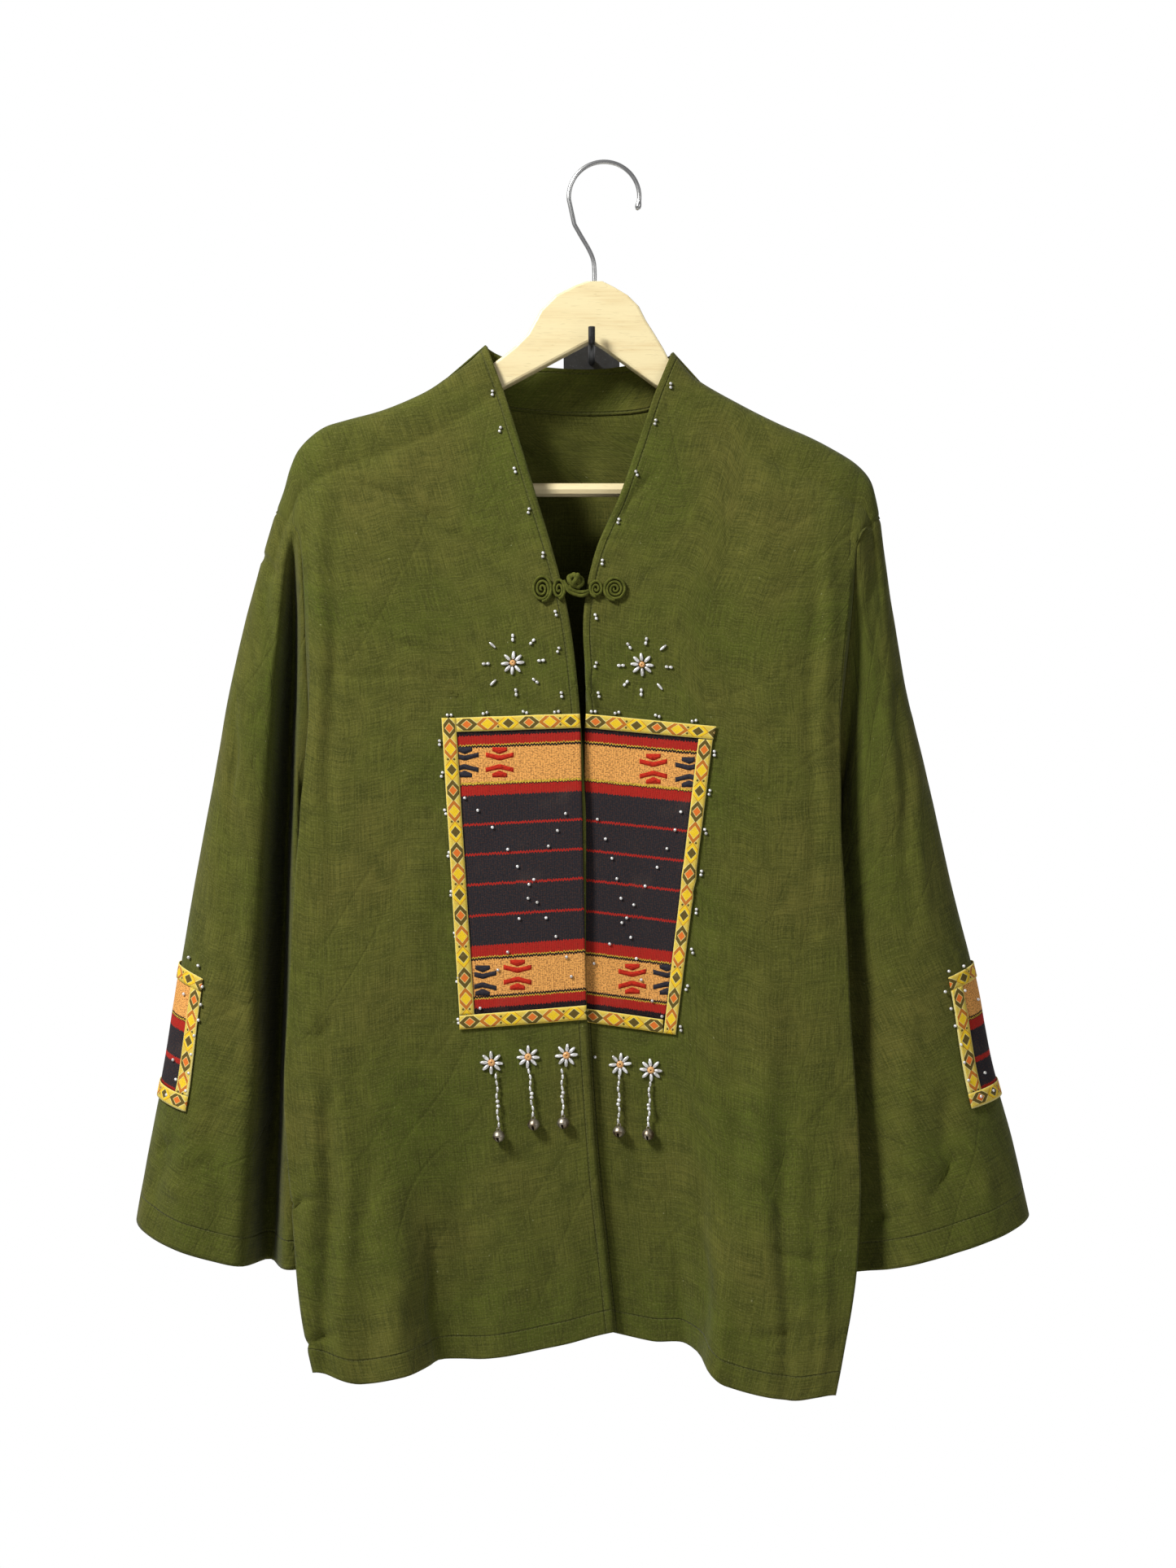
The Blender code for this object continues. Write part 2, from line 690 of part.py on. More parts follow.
# Cloth: fronts, back, collar and sleeves share the points of their seams, then each is trimmed back
fronts = {side: front_sheet(side) for side in FRONT}
back = back_sheet()
collar = collar_sheet()
sleeves = {side: sleeve_sheet(side, fronts[side], back) for side in FRONT}
under = ROWS.index(UNDERARM)
armhole = np.interp(ROWS[: under + 1], *ARMHOLE_TRIM)
sleeve_top = np.interp(ROWS[: under + 1], *SLEEVE_TRIM)
for side in FRONT:
    trim(fronts[side], "top", 0.7)
    trim(fronts[side], "finish", armhole, 0, under + 1)
    trim(fronts[side], "finish", 0.6, under + 1)
    trim(sleeves[side], "top", np.concatenate([sleeve_top, sleeve_top[-2:0:-1]]))
for edge in ("start", "finish"):
    trim(back, edge, armhole, 0, under + 1)
    trim(back, edge, 0.6, under + 1)
    trim(collar, edge, 0.8)
trim(back, "top", 0.7)
trim(collar, "bottom", 0.5)
for side in FRONT:
    wall(f"front_{side}", fronts[side], CLOTH, "green_cotton")
    wall(f"sleeve_{side}", sleeves[side], CLOTH, "green_cotton", closed=True)
wall("back", back, CLOTH, "green_cotton")
wall("back_collar", collar, CLOTH, "green_cotton")

# Woven panels and their ribbons on the fronts
for side, skins in FRONT_SKINS.items():
    for piece, corners in skins.items():
        ribbon = piece.startswith("ribbon")
        thick = RIBBON_THICK if ribbon else PANEL_THICK
        front_skin(f"{piece}_{side}", side, corners, thick, "ribbon" if ribbon else "woven_stripe")

# Woven bands round the sleeves, each framed by four ribbons
gap_rows = 0.012
gap_points = 0.05
for side in FRONT:
    top, bottom, reach = BAND["top"], BAND["bottom"], BAND["points"]
    strip, edge = BAND["ribbon_rows"], BAND["ribbon_points"]
    inner = (top + strip + gap_rows, bottom - strip - gap_rows)
    pieces = {
        "sleeve_ribbon_top": ((top, top + strip), (-reach, reach)),
        "sleeve_ribbon_bottom": ((bottom - strip, bottom), (-reach, reach)),
        "sleeve_ribbon_front": (inner, (reach - edge, reach)),
        "sleeve_ribbon_back": (inner, (-reach, edge - reach)),
    }
    for piece, (rows, columns) in pieces.items():
        sleeve_skin(f"{piece}_{side}", side, rows, columns, RIBBON_THICK, "ribbon")
    within = (edge - reach + gap_points, reach - edge - gap_points)
    sleeve_skin(f"sleeve_panel_{side}", side, inner, within, PANEL_THICK, "woven_stripe")

# Frog: four discs of coiled cord, sewn to the fronts, with a loop that holds a knot over the opening
for name, (side, x, z, half_wide, half_high, turns) in FROG_COILS.items():
    coil(name, side, (x, z), (half_wide, half_high), turns, "green_cotton")
cord_height = CLOTH / 2 + SEAM_GAP + CORD / 2
loop_ends = [on_front("left", -24, -178, cord_height)[1], on_front("right", 2, -178, cord_height)[1]]
knot_y = sum(loop_ends) / 2
bpy.ops.mesh.primitive_uv_sphere_add(segments=12, ring_count=8, radius=1)
knot = bpy.context.object
knot.name = knot.data.name = "frog_knot"
for collection in knot.users_collection:
    collection.objects.unlink(knot)
jacket.objects.link(knot)
knot.data.materials.append(material("green_cotton"))
knot.scale = (KNOT["half_wide"] * MM, KNOT["half_deep"] * MM, KNOT["half_wide"] * MM)
knot.location = (KNOT["x"] * MM, knot_y * MM, KNOT["z"] * MM)
loop = []
for angle in np.linspace(-LOOP["angle"], LOOP["angle"], 10):
    x = LOOP["x"] + LOOP["half_wide"] * math.sin(angle)
    z = KNOT["z"] - LOOP["half_high"] * math.cos(angle)
    loop.append((x, np.interp(angle, (-LOOP["angle"], LOOP["angle"]), loop_ends), z))
tube("frog_loop", loop, CORD, "green_cotton", 1)

# Bead strands, each with its bell, which swing out from their sewn ends
for number, (side, root_x, root_z, low_x, low_z) in enumerate(STRANDS, 1):
    root = on_front(side, root_x, root_z, CLOTH / 2 + SEAM_GAP + STRAND_WIDE * 0.8)
    low = on_front(side, low_x, low_z + BELL["tall"] / 2, CLOTH / 2 + SEAM_GAP + BELL["wide"] / 2)
    low[2] = low_z
    swing = bpy.data.objects.new(f"swing_{number}", None)
    jacket.objects.link(swing)
    swing.location = root * MM
    bell_top = low + (root - low) * BELL["tall"] / np.linalg.norm(root - low)
    steps = 12
    line = [root + (bell_top - root) * (k / steps) for k in range(steps + 1)]
    line[-1] = bell_top + (root - bell_top) / np.linalg.norm(root - bell_top) * SEAM_GAP
    widths = [1.35 if k in (5, 6, 7) else 1.0 for k in range(steps + 1)]
    strand = tube(f"strand_{number}", line, STRAND_WIDE, "glass_beads", 1, widths, root)
    strand.parent = swing
    strand.location = (0, 0, 0)
    shape = bpy.data.meshes.new(f"bell_{number}")
    made = bmesh.new()
    half, tall, thin = BELL["wide"] / 2, BELL["tall"], BELL["wall"]
    outside = ((0, tall), (1.4, tall), (2.6, tall * 0.8), (half * 0.8, tall * 0.35), (half, 0))
    inside = ((half - thin, 0), (half * 0.8 - thin, tall * 0.35), (1.6, tall * 0.72), (0, tall * 0.78))
    profile = [made.verts.new((r * MM, 0, z * MM)) for r, z in (*outside, *inside)]
    for a, b in zip(profile, profile[1:]):
        made.edges.new((a, b))
    made.to_mesh(shape)
    made.free()
    bell = add(f"bell_{number}", shape, "bell_metal")
    turn = bell.modifiers.new("turn", "SCREW")
    turn.steps = turn.render_steps = 12
    turn.use_merge_vertices = True
    turn.merge_threshold = 0.00001
    bell.parent = swing
    bell.location = (low - root) * MM
    lean = math.atan2(-(low[1] - root[1]), root[2] - low[2])
    bell.rotation_euler.x = -lean

# Hanger of pine with its bar and wire hook
arms = {}
for side, inward in (("left", 1), ("right", -1)):
    arms[side] = [shoulder_point(side, a)[[0, 2]] - (0, WOOD_BELOW_CLOTH) for a in ACROSS[2:11]]
    arms[side][0][1] -= WOOD_BELOW_COLLAR
    arms[side][-1][0] += inward * WOOD_SHORT
board = [*arms["left"][::-1], *HUMP, *arms["right"], *UNDERSIDE]
outline("hanger_wood", board[::-1], HANGER_THICK, HANGER_Y, WOOD_ROUND, "pine")
bar_ends = [x - math.copysign(SEAM_GAP, x) for x in (-179.5, 165.5)]
tube("hanger_bar", [(x, HANGER_Y, BAR_Z) for x in bar_ends], BAR_WIDE, "pine", 3)
sweep = np.linspace(HOOK_ROUND["from"], HOOK_ROUND["to"], 22)
hook = [
    (
        HOOK_ROUND["x"] + HOOK_ROUND["radius"] * math.cos(a),
        HANGER_Y,
        HOOK_ROUND["z"] + HOOK_ROUND["radius"] * math.sin(a),
    )
    for a in sweep
]
hook += [(x, HANGER_Y, z) for x, z in HOOK_FOOT]
tips = [1.5, 1.5] + [1.0] * (len(hook) - 2)
tube("hanger_hook", hook, HOOK_WIRE, "steel", 2, tips)

# Wall hook: a plate on the wall and a rod with its tip turned up
bpy.ops.mesh.primitive_cube_add(size=1)
plate = bpy.context.object
plate.name = plate.data.name = "wall_hook_plate"
for collection in plate.users_collection:
    collection.objects.unlink(plate)
jacket.objects.link(plate)
plate.data.materials.append(material("black_paint"))
plate.data.transform(
    ((PLATE["wide"] * MM, 0, 0, 0), (0, PLATE["thick"] * MM, 0, 0), (0, 0, PLATE["tall"] * MM, 0), (0, 0, 0, 1))
)
plate.location.y = -PLATE["thick"] / 2 * MM
corners = plate.modifiers.new("corners", "BEVEL")
corners.width = 0.5 * MM
corners.segments = 1
rod_start = -PLATE["thick"] - SEAM_GAP
bend = [(0, ROD_TIP["y"] + 4 - 4 * math.sin(a), 4 - 4 * math.cos(a)) for a in np.linspace(0, math.pi / 2, 5)]
rod = [(0, rod_start, 0), (0, -40, 0), *bend, (0, ROD_TIP["y"], ROD_TIP["z"])]
tube("wall_hook_rod", rod, ROD_WIDE, "black_paint", 3)
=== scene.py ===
"""The looks of the embroidered jacket on its hanger and wall hook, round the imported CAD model.

Sizes are in millimetres until a mesh is made, in the model's own frame: X to the right, Z up, the wall
at Y = 0.
"""

import math

import bpy
import numpy as np
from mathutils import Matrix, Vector, noise


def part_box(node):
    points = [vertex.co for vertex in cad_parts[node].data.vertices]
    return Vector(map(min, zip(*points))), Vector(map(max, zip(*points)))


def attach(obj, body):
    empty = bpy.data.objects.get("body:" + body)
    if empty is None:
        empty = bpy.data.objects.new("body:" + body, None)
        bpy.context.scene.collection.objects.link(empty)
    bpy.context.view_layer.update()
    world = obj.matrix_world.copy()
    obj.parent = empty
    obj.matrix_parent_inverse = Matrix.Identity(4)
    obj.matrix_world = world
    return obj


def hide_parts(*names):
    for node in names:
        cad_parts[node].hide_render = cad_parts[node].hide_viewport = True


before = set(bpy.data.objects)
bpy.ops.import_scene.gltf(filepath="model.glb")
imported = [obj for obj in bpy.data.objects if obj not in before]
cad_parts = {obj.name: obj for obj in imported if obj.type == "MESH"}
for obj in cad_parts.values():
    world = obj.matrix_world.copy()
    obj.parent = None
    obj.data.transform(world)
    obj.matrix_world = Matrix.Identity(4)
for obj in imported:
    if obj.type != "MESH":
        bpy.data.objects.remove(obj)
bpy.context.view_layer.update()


# Wall hook: a steel plate on the wall and a rod with its tip turned up, both in satin black paint.
# The hanger's wood rests on the rod. The paint has a fine orange peel and is rubbed where the wood sits.


class Dye:
    """A value or colour that changes over a surface: sums of dyes become Math nodes of their finish."""

    def __init__(self, tree, socket=None):
        self.tree = tree
        self.socket = socket

    def node(self, kind, settings, values, out=0):
        """A node of this kind: its settings first, then values or other dyes for its sockets."""
        made = self.tree.nodes.new(kind)
        for name, value in settings.items():
            if name == "stops":
                made.color_ramp.interpolation = "CONSTANT"
                stops = made.color_ramp.elements
                stops.remove(stops[1])
                stops[0].position, stops[0].color = value[0][0], (*value[0][1], 1)
                for place, colour in value[1:]:
                    stops.new(place).color = (*colour, 1)
            else:
                setattr(made, name, value)
        for name, value in values.items():
            socket = made.inputs[name]
            if isinstance(value, Dye):
                self.tree.links.new(value.socket, socket)
            elif socket.type == "RGBA":
                socket.default_value = (*value, 1)
            else:
                socket.default_value = value
        return Dye(self.tree, made.outputs[out])

    def maths(self, operation, *values):
        return self.node("ShaderNodeMath", {"operation": operation}, dict(enumerate(values)))

    def __add__(self, other):
        return self.maths("ADD", self, other)

    def __sub__(self, other):
        return self.maths("SUBTRACT", self, other)

    def __rsub__(self, other):
        return self.maths("SUBTRACT", other, self)

    def __mul__(self, other):
        return self.maths("MULTIPLY", self, other)

    def __truediv__(self, other):
        return self.maths("DIVIDE", self, other)

    def __mod__(self, other):
        return self.maths("FLOORED_MODULO", self, other)

    def __abs__(self):
        return self.maths("ABSOLUTE", self)

    def __lt__(self, other):
        return self.maths("LESS_THAN", self, other)

    def __gt__(self, other):
        return self.maths("GREATER_THAN", self, other)

    __radd__ = __add__
    __rmul__ = __mul__

    def part(self, axis):
        return self.node("ShaderNodeSeparateXYZ", {}, {0: self}, out=axis)

    def stretched(self, *scale):
        return self.node("ShaderNodeVectorMath", {"operation": "MULTIPLY"}, {0: self, 1: scale})

    def clouds(self, scale, detail=2.0):
        return self.node("ShaderNodeTexNoise", {}, {"Vector": self, "Scale": scale, "Detail": detail})

    def rise(self, low, high):
        """0 below low, 1 above high, and a soft step between."""
        settings = {"interpolation_type": "SMOOTHSTEP"}
        return self.node("ShaderNodeMapRange", settings, {0: self, 1: low, 2: high})

    def between(self, under, over):
        """A colour from under, where this is 0, to over, where it is 1."""
        return self.node("ShaderNodeMix", {"data_type": "RGBA"}, {0: self, 6: under, 7: over}, out=2)

    def onto(self, name, shader="Principled BSDF"):
        """Feeds a socket of the main shader."""
        self.tree.links.new(self.socket, self.tree.nodes[shader].inputs[name])

    def raised(self, depth):
        """Bumps the surface by this height, with this depth in metres from 0 to 1."""
        self.node("ShaderNodeBump", {}, {"Height": self, "Distance": depth}, out="Normal").onto("Normal")


def new_finish(name, roughness, metallic=0.0, **fixed):
    """A material, and the dye of its place in the object's own frame."""
    made = bpy.data.materials.new(name)
    made.use_nodes = True
    shader = made.node_tree.nodes["Principled BSDF"]
    shader.inputs["Roughness"].default_value = roughness
    shader.inputs["Metallic"].default_value = metallic
    for socket, value in fixed.items():
        shader.inputs[socket.replace("_", " ")].default_value = value
    return made, Dye(made.node_tree).node("ShaderNodeTexCoord", {}, {}, out="Object")


def finish_node(node, finish):
    """Gives a CAD piece that is shown as it is its finish."""
    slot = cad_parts[node].material_slots[0]
    slot.link = "OBJECT"
    slot.material = finish


black_paint, place = new_finish("black paint", 0.4)
rubbed = place.clouds(900, 3).rise(0.62, 0.75)
rubbed.between((0.009, 0.009, 0.01), (0.05, 0.05, 0.052)).onto("Base Color")
(place.clouds(300) * 0.25 + 0.3).onto("Roughness")
place.clouds(2500).raised(0.00004)
for node in ("wall_hook_plate", "wall_hook_rod"):
    finish_node(node, black_paint)


# Hanger: a shaped board of pale sanded pine and a round pine bar below it, which carry the jacket.
# The grain runs along each of them, with darker late wood, a few pores and a thin satin lacquer.

pine, place = new_finish("pale pine", 0.45, Coat_Weight=0.15, Coat_Roughness=0.3)
wander = place.clouds(9, 3)
rings = wander.maths("SINE", place.part("Z") * 330 + place.part("Y") * 420 + wander * 16)
grain = place.stretched(30, 700, 700).clouds(1, 4)
late_wood = (rings * 0.14 + grain).rise(0.35, 1.05)
tone = late_wood.between((0.78, 0.66, 0.37), (0.68, 0.52, 0.26))
pores = place.stretched(120, 2600, 2600).clouds(1, 1).rise(0.66, 0.74)
(pores * 0.4).between(tone, (0.42, 0.3, 0.13)).onto("Base Color")
(0.38 + grain * 0.2).onto("Roughness")
(grain - pores * 0.6).raised(0.00008)
for node in ("hanger_wood", "hanger_bar"):
    finish_node(node, pine)

# Wire hook: one bright steel wire, bent to a round and set in the top of the board.
# It is drawn smooth, with faint marks along it, and its free end is a small ball.

MM = 0.001
WIRE_WIDE = 3.3
WIRE_BALL = 4.8
HANGER_Y = -70.0
# The round's middle and radius, and the angles at which it starts and ends; then the foot's places as x, z
HOOK_ROUND = {"x": 9.0, "z": 108.0, "radius": 25.5, "from": -0.38, "to": 3.55}
HOOK_FOOT = ((-14, 92), (-9, 82), (-2, 70), (1.2, 62), (2, 54), (2, 46.3))
# How many of the round's last points the foot takes over, how many it has between two places, and its first
HOOK_JOIN = 6
FOOT_STEPS = 6
FOOT_START = 8


def smooth(table, at):
    """A table's rows as one smooth curve, read at a row number."""
    rows = np.asarray(table, float)
    last = len(rows) - 1
    i = min(int(at), last - 1)
    part = at - i
    before, start, end, after = (rows[min(max(k, 0), last)] for k in (i - 1, i, i + 1, i + 2))
    slope_in = (end - before) / 2
    slope_out = (after - start) / 2
    square, cube = part**2, part**3
    return (
        (2 * cube - 3 * square + 1) * start
        + (cube - 2 * square + part) * slope_in
        + (3 * square - 2 * cube) * end
        + (cube - square) * slope_out
    )


def unit(way):
    return way / np.linalg.norm(way)


def add_object(name, data):
    """Puts a mesh, lamp or camera in the scene."""
    made = bpy.data.objects.new(name, data)
    bpy.context.scene.collection.objects.link(made)
    return made


def add_mesh(name, corners, faces, finish):
    """A smooth mesh in one finish, from corners in metres."""
    mesh = bpy.data.meshes.new(name)
    mesh.from_pydata(corners, [], faces)
    mesh.materials.append(finish)
    mesh.shade_smooth()
    return mesh


def add_wall(piece, thick, offset):
    wall = piece.modifiers.new("thickness", "SOLIDIFY")
    wall.thickness = thick * MM
    wall.offset = offset


def grid_mesh(name, points, finish, across=None, down=None, closed=False, thick=0.0, capped=False):
    """A piece from rows of points in mm, with a map of its cloth in metres: across each row, and down.

    The last column of a closed grid is the first one again, met from the other side.
    """
    rows, columns = points.shape[:2]
    used = columns - 1 if closed else columns
    corners = points[:, :used].reshape(-1, 3) * MM
    faces, ends = [], []
    for i in range(rows - 1):
        for j in range(columns - 1):
            ends.append(((i, j), (i + 1, j), (i + 1, j + 1), (i, j + 1)))
            faces.append([a * used + b % used for a, b in ends[-1]])
    if capped:
        faces.append(list(range(used)))
        faces.append([(rows - 1) * used + j for j in reversed(range(used))])
    mesh = add_mesh(name, corners.tolist(), faces, finish)
    if across is not None:
        layer = mesh.uv_layers.new(name="cloth")
        layout = np.zeros((len(mesh.loops), 2))
        flat = np.array(ends).reshape(-1, 2)
        layout[: len(flat), 0] = across[flat[:, 0], flat[:, 1]] * MM
        layout[: len(flat), 1] = down[flat[:, 0], flat[:, 1]] * MM
        layer.data.foreach_set("uv", layout.ravel())
    mesh.update()
    piece = add_object(name, mesh)
    if thick:
        add_wall(piece, thick, 0)
    return piece


def round_cord(name, points, off, wide, deep, finish, sides=12):
    """A cord, wire or roll along points: wide across it, and deep the way that off points."""
    points = np.asarray(points, float)
    along = np.gradient(points, axis=0)
    along /= np.linalg.norm(along, axis=1, keepdims=True)
    sideways = np.cross(along, np.broadcast_to(np.asarray(off, float), points.shape))
    sideways /= np.linalg.norm(sideways, axis=1, keepdims=True)
    outward = np.cross(sideways, along)
    wide = np.broadcast_to(wide, len(points))[:, None, None]
    deep = np.broadcast_to(deep, len(points))[:, None, None]
    angles = np.linspace(0, 2 * math.pi, sides + 1)[None, :, None]
    ring = sideways[:, None] * np.cos(angles) * wide / 2 + outward[:, None] * np.sin(angles) * deep / 2
    grid = points[:, None] + ring
    length = np.concatenate([[0], np.cumsum(np.linalg.norm(np.diff(points, axis=0), axis=1))])
    across = np.broadcast_to(np.linspace(0, math.pi * wide.mean(), sides + 1), grid.shape[:2])
    down = np.broadcast_to(length[:, None], grid.shape[:2])
    return grid_mesh(name, grid, finish, across, down, closed=True, capped=True)


steel, place = new_finish("drawn steel", 0.25, 1.0)
drawn = place.stretched(400, 400, 90).clouds(6, 2)
drawn.between((0.62, 0.62, 0.6), (0.46, 0.46, 0.45)).onto("Base Color")
(0.2 + drawn * 0.2).onto("Roughness")
drawn.raised(0.00002)
sweep = np.linspace(HOOK_ROUND["from"], HOOK_ROUND["to"], 60)
middle_x, middle_z, radius = (HOOK_ROUND[key] for key in ("x", "z", "radius"))
bend = [(middle_x + radius * math.cos(a), middle_z + radius * math.sin(a)) for a in sweep]
steps = range(FOOT_START, len(HOOK_FOOT) * FOOT_STEPS + 1)
foot = [smooth([bend[-HOOK_JOIN], *HOOK_FOOT], k / FOOT_STEPS) for k in steps]
line = np.array([(x, HANGER_Y, z) for x, z in [*bend[: 1 - HOOK_JOIN], *foot]])
wide = np.full(len(line), WIRE_WIDE)
wide[:4] = (WIRE_WIDE * 0.5, WIRE_BALL * 0.9, WIRE_BALL, WIRE_BALL * 0.85)
hook = round_cord("wire_hook", line, (0, 1, 0), wide, wide, steel, sides=16)
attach(hook, "root")
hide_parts("hanger_hook")


# Fronts: two pieces of slubby olive cotton with their stand collar cut on. Each hangs over the hanger, folds
# round the body's side to its seam, and spreads in soft flutes to the hem. Sewn at the shoulder, armhole
# and side, with the opening edge turned in and stitched 5.5 mm from it, and a 16 mm hem.

CLOTH = 1.3
# Stitch lines, in metres from the edge
HEM_STITCH = 0.016
OPENING_STITCH = 0.0055
# Points of the mesh to each step of ROWS and of ACROSS, and rows to each of those before it is creased
FINE_DOWN = 5
FINE_ACROSS = 7
CREASE_ROWS = 3
# Rows from the collar's peak to the hem. Columns: the open edge, then the fold at the body's side, then the
# armhole or side seam, each as x, z, y
FRONT = {
    "left": (
        (-76, 0, -70, -209, -74, -70, -227, -121, -70),
        (-64, -32, -82, -207, -108, -92, -218, -128, -88),
        (-51, -73, -89, -204, -138, -100, -209, -138, -97),
        (-39, -113, -95, -201, -175, -105, -205, -178, -96),
        (-27, -153, -100, -200, -217, -109, -203, -222, -95),
        (-16, -199, -105, -199, -263, -112, -201, -268, -92),
        (-9, -257, -110, -202, -305, -115, -199, -311, -84),
        (-5, -320, -113, -205, -332, -117, -197, -332, -70),
        (-4, -345, -114, -206, -350, -118, -187, -338, -70),
        (-4, -392, -116, -210, -402, -120, -175, -388, -76),
        (-4, -456, -118, -213, -474, -124, -164, -458, -80),
        (-1, -520, -119, -215, -542, -128, -157, -530, -82),
        (4, -589, -118, -210, -604, -134, -150, -600, -84),
        (10, -647, -116, -202, -668, -142, -145, -668, -84),
        (16, -703, -114, -191, -723, -150, -142, -733, -84),
    ),
    "right": (
        (58, -5, -70, 192, -88, -70, 207, -125, -70),
        (46, -34, -82, 188, -117, -92, 200, -131, -88),
        (33, -73, -89, 184, -146, -100, 190, -141, -97),
        (19, -113, -95, 183, -182, -105, 186, -182, -96),
        (2, -153, -99, 180, -217, -109, 182, -224, -95),
        (-6, -199, -102, 176, -263, -112, 177, -268, -92),
        (-4, -257, -105, 175, -305, -115, 172, -311, -84),
        (-9, -320, -107, 175, -332, -117, 168, -332, -70),
        (-8, -345, -108, 175, -350, -118, 158, -338, -70),
        (-8, -392, -109, 178, -402, -120, 150, -388, -76),
        (-8, -456, -111, 181, -474, -124, 143, -458, -80),
        (-5, -520, -112, 185, -542, -128, 141, -530, -82),
        (0, -589, -111, 187, -604, -134, 135, -600, -84),
        (6, -647, -109, 182, -668, -142, 130, -668, -84),
        (12, -704, -107, 168, -739, -150, 128, -741, -84),
    ),
}
# Row numbers of the mesh, and its numbers across: 1 is the fold and 2 the seam
ROWS = (0, 0.1, 0.25, 0.55, 1, 1.5, 2, 2.5, 3, 4, 5, 6, 6.6, 7, 8, 9, 10, 11, 12, 12.6, 13.3, 14)
UNDERARM = 7
NECK_POINT = 0.2
ACROSS = (0, 0.1, NECK_POINT, 0.32, 0.44, 0.56, 0.67, 0.78, 0.88, 0.96, 1, 1.1, 1.25, 1.5, 1.75, 2)
# The top edge over the hanger: x, z at numbers across, then down the dropped shoulder
SHOULDER = {
    "left": (
        (0.0, -76, 0), (0.1, -87, -11), (0.2, -104, -24), (0.34, -121, -35), (0.55, -149, -47),
        (0.76, -177, -55), (0.89, -194, -61), (1.0, -209, -74), (1.33, -216, -88), (1.66, -221, -105),
        (2.0, -227, -121),
    ),
    "right": (
        (0.0, 58, -5), (0.1, 66, -15), (0.2, 78, -27), (0.38, 108, -44), (0.57, 134, -57), (0.76, 159, -68),
        (0.9, 179, -79), (1.0, 192, -88), (1.33, 200, -98), (1.66, 204, -111), (2.0, 207, -125),
    ),
}
SHOULDER_ROWS = 2.5
# How far each front's lowest edge drops below a straight line, at numbers across
HEM_DROP = {
    "left": ((0, 0), (0.2, 6), (0.43, 10), (0.6, 7), (0.85, 11), (1, 0)),
    "right": ((0, 0), (0.2, 0), (0.36, -4), (0.5, 10), (0.8, 10), (1, 0)),
}
# Where the cloth turns from the opening's depth to the fold's, at the hem, and over how much of its width
FLUTE_AT = {"left": 0.63, "right": 0.41}
FLUTE_SOFT = 0.14
FOLD_ROLL = 2.5
# Creases narrower than this are pressed in sharply, the others softly
FINE_CREASE = 4
SHARP = 2.8
SOFT = 1.25
# Slight waves all over: how many to a millimetre, and how high
WAVES = ((0.011, 1.6), (0.03, 0.7), (0.075, 0.28))
# Beside a seam the cloth is flat for the first millimetres, then slowly free, and it dips at the seam itself
SEAM_FLAT = 2
SEAM_FREE = 14
SEAM_DIP = 0.9
SEAM_WIDE = 2.4
# Soft creases of each front, in the view from the front: x, z at both ends, half width, height off the cloth
FRONT_CREASES = {
    "left": (
        (-144, -192, -104, -219, 2.6, -0.8), (-162, -206, -100, -230, 2.4, -0.7),
        (-117, -126, -72, -156, 2.6, -0.7), (-168, -192, -135, -208, 2.2, -0.6),
        (-199, -239, -93, -241, 1.6, -0.5), (-121, -242, -73, -264, 2.2, -0.7),
        (-135, -132, -98, -168, 2.4, -0.6), (-93, -236, -70, -262, 2.2, -0.8),
        (-70, -256, -31, -264, 2.0, -0.7), (-158, -151, -104, -197, 2.6, -0.6),
        (-172, -98, -104, -129, 3.0, -0.7), (-150, -70, -120, -250, 16, 0.9),
        (-192, -110, -193, -330, 6, 1.6), (-183, -130, -184, -420, 5, -1.2), (-60, -60, -36, -150, 7, 1.0),
        (-122, -300, -124, -470, 12, 1.0), (-200, -498, -180, -483, 2.4, -0.8),
        (-211, -610, -192, -605, 2.4, -0.9), (-197, -704, -175, -695, 2.4, -0.9),
        (-196, -480, -195, -740, 7, 2.2), (-184, -540, -184, -735, 5, -2.2),
        (-172, -500, -171, -740, 6, 1.8), (-156, -560, -156, -740, 7, -1.6),
        (-134, -600, -134, -740, 8, 1.6), (-113, -630, -108, -735, 4, -2.4),
        (-60, -540, -52, -735, 16, 1.4), (-86, -560, -84, -735, 10, -1.0), (-22, -600, -12, -712, 9, 1.2),
        (-72, -590, -40, -575, 2.6, -0.5),
    ),
    "right": (
        (15, -132, 43, -95, 2.6, -0.7), (22, -150, 60, -190, 3.0, -0.6), (65, -377, 111, -434, 2.6, 0.9),
        (71, -392, 108, -423, 2.4, -0.9), (68, -456, 91, -476, 2.2, -0.8), (51, -523, 91, -577, 2.2, -0.8),
        (60, -515, 98, -560, 2.0, 0.7), (71, -509, 97, -534, 2.2, -0.7), (23, -534, 57, -560, 2.4, -0.8),
        (82, -492, 111, -534, 2.4, -0.7), (96, -701, 153, -695, 2.4, -0.9),
        (110, -588, 139, -622, 2.4, -0.8), (120, -640, 160, -650, 2.6, -0.7), (-6, -236, 1, -262, 2.0, 1.5),
        (2, -240, 30, -245, 1.8, -0.6), (120, -70, 128, -260, 14, 1.0), (168, -130, 164, -330, 6, 1.5),
        (158, -150, 154, -420, 5, -1.0), (100, -110, 92, -260, 12, -0.8), (120, -460, 124, -735, 10, 2.4),
        (100, -500, 96, -735, 8, -1.8), (78, -590, 76, -735, 5, -2.6), (146, -540, 146, -740, 8, 1.8),
        (133, -560, 134, -740, 5, -1.8), (165, -580, 158, -740, 5, 1.6), (54, -560, 58, -700, 12, 1.2),
        (26, -580, 34, -700, 10, -0.8),
    ),
}


